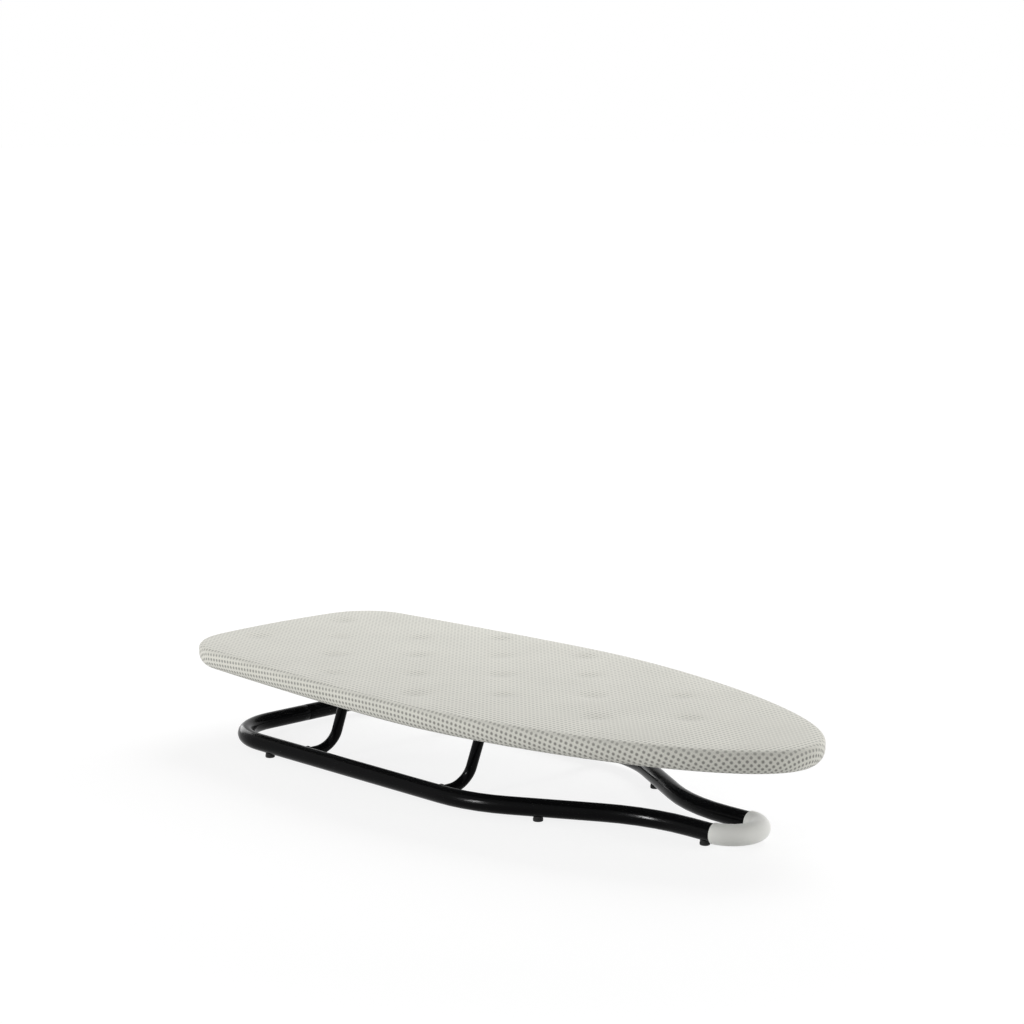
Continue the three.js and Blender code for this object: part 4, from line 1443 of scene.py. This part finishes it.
class MakeScrews(bpy.types.Operator):
    """Turn one cross-recess pan-head screw and drive a copy into each ear"""

    bl_idname = "ironing_board.screws"
    bl_label = "Screws"

    def execute(self, context):
        sizes, board = context.scene.hoop_sizes, context.scene.board_sizes
        web_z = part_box("cross_channel_rear")[0].z
        under_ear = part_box("pivot_block_rear_far")[1].z - sizes.block_ear_thickness - FIT
        bottom = under_ear - sizes.screw_head_height
        head, shank = sizes.screw_head / 2, sizes.screw_shank / 2
        tip = web_z + board.channel_wall + sizes.screw_tip
        profile = [
            (0.35 * head, bottom), (0.7 * head, bottom + 0.18 * MM), (0.92 * head, bottom + 0.7 * MM),
            (head, bottom + 1.4 * MM), (head, under_ear), (shank, under_ear),
        ]
        thread_z = under_ear + sizes.thread_pitch
        while thread_z < tip - 1.5 * sizes.thread_pitch:
            profile += [(shank, thread_z), (0.78 * shank, thread_z + sizes.thread_pitch / 2)]
            thread_z += sizes.thread_pitch
        profile += [(0.8 * shank, tip - sizes.thread_pitch), (0.2 * shank, tip)]
        pattern = turned("screw_pattern", profile)
        for turn in (0, QUARTER):
            blade = sized(
                bpy.ops.mesh.primitive_cube_add, "driver_blade", (0, 0, bottom),
                (1.05 * head, 0.9 * MM, 2 * MM),
            )
            close_up(blade)
            moved(blade, (0, 0, 0), Matrix.Rotation(turn, 3, "Z"))
            combine(pattern, blade, "DIFFERENCE")
        round_edges(pattern, SCREW_EDGE, limit=50)
        for number, hoop in enumerate(HOOPS):
            for order, (node, (x, y)) in enumerate(screw_places(sizes, hoop).items()):
                turn = Matrix.Rotation(math.radians(37 * order + 61 * number), 3, "Z")
                screw = moved(copied(pattern, f"zinc_{node}"), (x, y, 0), turn)
                hand_over(screw, zinc_plating, "board", "zinc_screw", node)
        bpy.data.objects.remove(pattern)
        return {"FINISHED"}


def filled_top(ring, spacing, height_at):
    """A fine flat filling of a ring of points, each raised to its height: points and faces."""
    low, high = ring.min(axis=0), ring.max(axis=0)
    loop = [Vector(point) for point in ring]
    inner = []
    row = 0
    y = low[1] + spacing / 2
    outline_ahead = np.roll(ring, -1, axis=0) - ring
    normal = np.stack([outline_ahead[:, 1], -outline_ahead[:, 0]], axis=1)
    normal /= np.linalg.norm(normal, axis=1)[:, None]
    while y < high[1]:
        x = low[0] + spacing * (0.25 if row % 2 else 0.75)
        while x < high[0]:
            outside = ((np.array([x, y]) - ring) * normal).sum(axis=1).max()
            if outside < -0.6 * spacing:
                inner.append(Vector((x, y)))
            x += spacing
        y += spacing * math.sqrt(0.75)
        row += 1
    edges = [(place, (place + 1) % len(loop)) for place in range(len(loop))]
    points, _, faces, _, _, _ = delaunay_2d_cdt(loop + inner, edges, [], 1, 1e-7)
    return [(point.x, point.y, height_at(point.x, point.y)) for point in points], faces


def rings_to_faces(rings, count, first=0):
    """Quads between rings of as many points each."""
    faces = []
    for ring in range(rings - 1):
        for place in range(count):
            following = (place + 1) % count
            low = first + ring * count
            high = low + count
            faces.append((low + place, high + place, high + following, low + following))
    return faces


def write_flat_cloth(piece, flat):
    """Keep each point's place on the flat cloth, in metres, as the piece's UV map."""
    layer = piece.data.uv_layers.new(name="flat_cloth")
    for loop in piece.data.loops:
        layer.data[loop.index].uv = flat[loop.vertex_index]


class MakePad(bpy.types.Operator):
    """Cut the foam pad with its rounded, falling edge and the hollows over the vents"""

    bl_idname = "ironing_board.pad"
    bl_label = "Foam pad"

    def execute(self, context):
        sizes = context.scene.board_sizes
        low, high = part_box("foam_pad")
        skin = sizes.cover_thickness + sizes.seat
        outline = Outline(sizes, SHEET_POINTS)
        centres = vent_centres(sizes)
        round_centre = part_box("cloth_cover")[1].z - sizes.crown - sizes.top_edge
        section = [(sizes.edge_band, low.z), (3 * skin, low.z), (1.6 * skin, low.z)]
        section += arc(sizes.top_edge, round_centre, sizes.top_edge - skin, 12, 90, 6)
        band = sizes.edge_band - sizes.top_edge
        for step in (1, 2, 3, 4):
            part = step / 4
            section.append((sizes.top_edge + band * part, high.z - sizes.crown * (1 - part) ** 2))
        points = []
        for inset, height in section:
            on_top = height > round_centre and inset > sizes.top_edge
            points += [(x, y, height - on_top * sunk(sizes, centres, x, y)) for x, y in outline.inset(inset)]
        faces = [face[::-1] for face in rings_to_faces(len(section), SHEET_POINTS)]
        middle = outline.inset(sizes.edge_band)
        first = len(points)
        top_points, top_faces = filled_top(
            middle, FILL_STEP, lambda x, y: high.z - sunk(sizes, centres, x, y),
        )
        points += top_points
        faces += [tuple(first + corner for corner in face) for face in top_faces]
        faces.append(tuple(range(SHEET_POINTS))[::-1])
        pad = sheet_mesh("foam_ironing_pad", points, faces)
        open_all(pad)
        close_up(pad)
        hand_over(pad, open_cell_foam, "board", "foam", "foam_pad", smooth=60)
        return {"FINISHED"}


class MakeCover(bpy.types.Operator):
    """Pull the printed cover over the pad and gather its hem under the board"""

    bl_idname = "ironing_board.cover"
    bl_label = "Cloth cover"

    def execute(self, context):
        sizes = context.scene.board_sizes
        shape = CoverShape(sizes)
        centres = vent_centres(sizes)
        points, flat = [], []
        for (inset, height), run in zip(shape.section, shape.run):
            points += [tuple(point) for point in shape.ring(inset, height)]
            flat += [tuple(point) for point in shape.cut(run)]
        faces = rings_to_faces(len(shape.section), CLOTH_POINTS)
        first = len(points)

        def top_at(x, y):
            ease = TOP_EASE * noise.noise(Vector((x, y, 2.7)) / TOP_EASE_SIZE)
            return shape.top - sunk(sizes, centres, x, y) - TOP_EASE + ease

        middle = shape.outline.inset(sizes.edge_band)
        top_points, top_faces = filled_top(middle, FILL_STEP, top_at)
        # The filling's first points are the ring itself, which stays level
        for place in range(CLOTH_POINTS):
            top_points[place] = (*top_points[place][:2], shape.top)
        points += top_points
        flat += [(x, y) for x, y, _ in top_points]
        faces += [tuple(first + corner for corner in face) for face in top_faces]
        cover = sheet_mesh("printed_cotton_cover", points, faces)
        write_flat_cloth(cover, flat)
        # Painted shade: each point's share of the pad's hollow over a vent, for the finish to draw the cloth
        # darker there
        painted_vent_shade = cover.data.attributes.new("painted_vent_shade", "FLOAT", "POINT")
        for place, (x, y, _) in enumerate(points):
            painted_vent_shade.data[place].value = sunk(sizes, centres, x, y) / sizes.dimple_depth
        open_all(cover)
        close_up(cover)
        apply_modifier(cover, "SOLIDIFY", thickness=sizes.cover_thickness, offset=-1, use_even_offset=False)
        hand_over(cover, printed_cotton, "board", "cotton", "cloth_cover", smooth=75)
        cut = shape.cut(shape.run[-1])
        return {"FINISHED"}


class MakeElastic(bpy.types.Operator):
    """Lay the ribbed elastic inside the hem, along its gathers"""

    bl_idname = "ironing_board.elastic"
    bl_label = "Hem elastic"

    def execute(self, context):
        sizes = context.scene.board_sizes
        shape = CoverShape(sizes)
        edge = sizes.under_edge + sizes.hem_width - sizes.elastic_inset
        lift = sizes.cover_thickness + FIT
        section = []
        for across, up in ((0, 0), (1, 0), (1, 1), (0, 1)):
            section.append((edge - sizes.elastic_width * across, lift + sizes.elastic_thickness * up))
        points, flat = [], []
        for inset, up in section + section[:1]:
            ring = shape.ring(inset, shape.bottom)
            ring[:, 2] += up
            points += [tuple(point) for point in ring]
            flat += [(run, inset) for run in shape.outline.run]
        faces = rings_to_faces(len(section) + 1, CLOTH_POINTS)
        tape = sheet_mesh("hem_elastic_tape", points, faces)
        write_flat_cloth(tape, flat)
        open_all(tape)
        close_up(tape)
        hand_over(tape, ribbed_elastic, "board", "elastic", "hem_elastic")
        return {"FINISHED"}


class MakeStitching(bpy.types.Operator):
    """Sew the row of stitches that closes the hem over its elastic"""

    bl_idname = "ironing_board.stitching"
    bl_label = "Hem stitching"

    def execute(self, context):
        sizes = context.scene.board_sizes
        shape = CoverShape(sizes)
        edge = sizes.under_edge + sizes.hem_width - sizes.elastic_inset
        line = shape.ring(edge - sizes.elastic_width - STITCH_INSET, shape.bottom)
        closed = np.vstack([line, line[:1]])
        reach = np.concatenate([[0], np.cumsum(np.linalg.norm(np.diff(closed, axis=0), axis=1))])
        count = round(reach[-1] / (sizes.stitch_length + sizes.stitch_gap))
        pitch = reach[-1] / count
        points, faces = [], []
        for stitch in range(count):
            self.add_stitch(points, faces, closed, reach, stitch * pitch, sizes)
        stitches = sheet_mesh("hem_stitching", points, faces)
        open_all(stitches)
        close_up(stitches)
        bpy.ops.object.shade_smooth()
        stitches.data.materials.append(known_finish(sewing_thread))
        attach(stitches, "board")
        return {"FINISHED"}

    def add_stitch(self, points, faces, line, reach, begin, sizes):
        """One stitch: a short thread that comes out of the cloth, lies on it and goes in again."""
        radius = sizes.thread / 2
        around, stations = 6, 5
        first = len(points)
        for station in range(stations):
            part = station / (stations - 1)
            run = begin + sizes.stitch_length * part
            ends = (run, min(run + 0.2 * MM, reach[-1]), max(run - 0.2 * MM, 0))
            middle, ahead, behind = [
                Vector([np.interp(end, reach, line[:, axis]) for axis in range(3)]) for end in ends
            ]
            along = (ahead - behind).normalized()
            side = along.cross(UP).normalized()
            down = along.cross(side).normalized()
            down = down if down.z < 0 else -down
            sink = radius * (0.45 - 1.1 * (2 * part - 1) ** 4)
            width = radius * (0.55 if station in (0, stations - 1) else 1)
            for turn in range(around):
                swing = 2 * math.pi * turn / around
                spoke = math.cos(swing) * side + math.sin(swing) * down
                points.append(tuple(middle + sink * down + width * spoke))
        for station in range(stations - 1):
            for turn in range(around):
                following = (turn + 1) % around
                low = first + station * around
                high = low + around
                faces.append((low + turn, low + following, high + following, high + turn))
        faces.append(tuple(first + turn for turn in range(around)))
        faces.append(tuple(first + (stations - 1) * around + turn for turn in range(around)))


class SetStage(bpy.types.Operator):
    """Set the pale floor, the soft studio light and the camera"""

    bl_idname = "ironing_board.stage"
    bl_label = "Stage"

    def execute(self, context):
        self.floor()
        self.world(context.scene)
        for name, place, size, power in SOFTBOXES:
            self.lamp(name, place, (size, size), power).visible_glossy = False
        tubes = self.coated_tubes(context.scene)
        for name, place, size, power, target, beam in SHEEN_LAMPS:
            sheen = self.lamp(name, place, size, power, target)
            sheen.data.spread = math.radians(beam)
            sheen.visible_diffuse = False
            sheen.light_linking.receiver_collection = tubes
        self.camera(context.scene)
        context.scene.view_settings.view_transform = "Standard"
        return {"FINISHED"}

    def floor(self):
        """A wide white floor that shows as white background and keeps a soft shadow."""
        floor = start(bpy.ops.mesh.primitive_plane_add, "floor", size=FLOOR_SIDE, location=(0, 0, 0))
        bpy.ops.mesh.subdivide(number_cuts=4)
        take(floor)
        material = bpy.data.materials.new("white_studio_floor")
        material.use_nodes = True
        tree = material.node_tree
        tree.nodes.clear()
        matt = add_node(tree, "ShaderNodeBsdfDiffuse", {"Color": shade(WHITE, FLOOR_BOUNCE)})
        place = add_node(tree, "ShaderNodeTexCoord").outputs["Object"]
        away = add_node(tree, "ShaderNodeVectorMath", {0: place}, operation="LENGTH").outputs["Value"]
        brightening = add_node(
            tree, "ShaderNodeMapRange",
            {
                "Value": away, "From Min": FLOOR_NEAR, "From Max": FLOOR_FAR, "To Min": FLOOR_GLOW_NEAR,
                "To Max": FLOOR_GLOW_FAR,
            },
            interpolation_type="SMOOTHSTEP",
        )
        glow = add_node(
            tree, "ShaderNodeEmission", {"Color": shade(WHITE), "Strength": brightening.outputs["Result"]},
        )
        lit = add_node(tree, "ShaderNodeAddShader")
        faint = add_node(tree, "ShaderNodeBsdfDiffuse", {"Color": shade(WHITE, FLOOR_SHADOW)})
        tree.links.new(glow.outputs[0], lit.inputs[0])
        tree.links.new(faint.outputs[0], lit.inputs[1])
        chosen = add_node(
            tree, "ShaderNodeMixShader", {0: self.seen_directly(tree), 1: matt.outputs[0], 2: lit.outputs[0]},
        )
        add_node(tree, "ShaderNodeOutputMaterial", {"Surface": chosen.outputs[0]})
        floor.data.materials.append(material)

    def seen_directly(self, tree):
        """1 for rays from the camera and mirrored or refracted ones, 0 for light that falls on things."""
        path = add_node(tree, "ShaderNodeLightPath")
        seen = path.outputs["Is Camera Ray"]
        for kind in ("Is Glossy Ray", "Is Transmission Ray"):
            rays = {0: seen, 1: path.outputs[kind]}
            seen = add_node(tree, "ShaderNodeMath", rays, operation="MAXIMUM").outputs[0]
        return seen

    def world(self, scene):
        """A white surround with a low, even light of its own."""
        world = bpy.data.worlds.new("white_surround")
        scene.world = world
        world.use_nodes = True
        tree = world.node_tree
        tree.nodes.clear()
        fill = add_node(tree, "ShaderNodeBackground", {"Color": shade(WHITE), "Strength": WORLD_FILL})
        white = add_node(tree, "ShaderNodeBackground", {"Color": shade(WHITE), "Strength": 1.0})
        chosen = add_node(
            tree, "ShaderNodeMixShader",
            {0: self.seen_directly(tree), 1: fill.outputs[0], 2: white.outputs[0]},
        )
        add_node(tree, "ShaderNodeOutputWorld", {"Surface": chosen.outputs[0]})

    def coated_tubes(self, scene):
        """The group of tubes that the sheen lamps fall on."""
        tubes = bpy.data.collections.new("coated_tubes")
        for piece in scene.objects:
            if piece.type == "MESH" and "black_powder_coat" in piece.data.materials:
                tubes.objects.link(piece)
        return tubes

    def lamp(self, name, place, size, power, target=BOARD_MIDDLE):
        """A lamp of a width and height that faces its target."""
        leave_edit_mode()
        turn = (Vector(target) - Vector(place)).to_track_quat("-Z", "Y").to_euler()
        bpy.ops.object.light_add(type="AREA", location=place, rotation=turn)
        lamp = bpy.context.object
        lamp.name = name
        lamp.data.shape = "RECTANGLE"
        lamp.data.size, lamp.data.size_y = size
        lamp.data.energy = power
        return lamp

    def camera(self, scene):
        """The camera at the photograph's place, with its lens."""
        turn = (math.radians(CAMERA_TILT), 0, math.radians(CAMERA_TURN))
        bpy.ops.object.camera_add(location=CAMERA_PLACE, rotation=turn)
        camera = bpy.context.object
        camera.name = "photograph_camera"
        camera.data.sensor_width = CAMERA_SENSOR
        camera.data.lens = CAMERA_LENS
        camera.data.clip_end = CAMERA_REACH
        scene.camera = camera


class IroningBoardPanel(bpy.types.Panel):
    """Sizes, colours and pieces of the ironing board"""

    bl_idname = "VIEW3D_PT_ironing_board"
    bl_label = "Ironing board"
    bl_space_type = "VIEW_3D"
    bl_region_type = "UI"
    bl_category = "Ironing board"

    def draw(self, context):
        for maker in MAKERS:
            self.layout.operator(maker.bl_idname)
        for group in SETTINGS:
            box = self.layout.box()
            box.label(text=label(group))
            settings = getattr(context.scene, group)
            for name in settings.__annotations__:
                box.prop(settings, name, text=label(name))


SETTINGS = {
    "base_sizes": BaseSizes,
    "hoop_sizes": HoopSizes,
    "board_sizes": BoardSizes,
    "print_sizes": PrintSizes,
    "finishes": Finishes,
}
MAKERS = (
    MakeBaseTube, MakeSleeve, MakeFeet, MakeBushes, DressPlug, MakeHoops, MakePanel, MakeRim, MakeChannels,
    MakeBlocks, MakeScrews, MakePad, MakeElastic, MakeStitching, MakeCover, SetStage,
)
CLASSES = (*SETTINGS.values(), *MAKERS, IroningBoardPanel)


def register():
    for made in CLASSES:
        bpy.utils.register_class(made)
    for name, group in SETTINGS.items():
        setattr(bpy.types.Scene, name, PointerProperty(type=group))


def unregister():
    for name in SETTINGS:
        delattr(bpy.types.Scene, name)
    for made in reversed(CLASSES):
        bpy.utils.unregister_class(made)


def main():
    register()
    for maker in MAKERS:
        getattr(bpy.ops.ironing_board, maker.bl_idname.split(".")[1])()


if __name__ == "__main__":
    main()
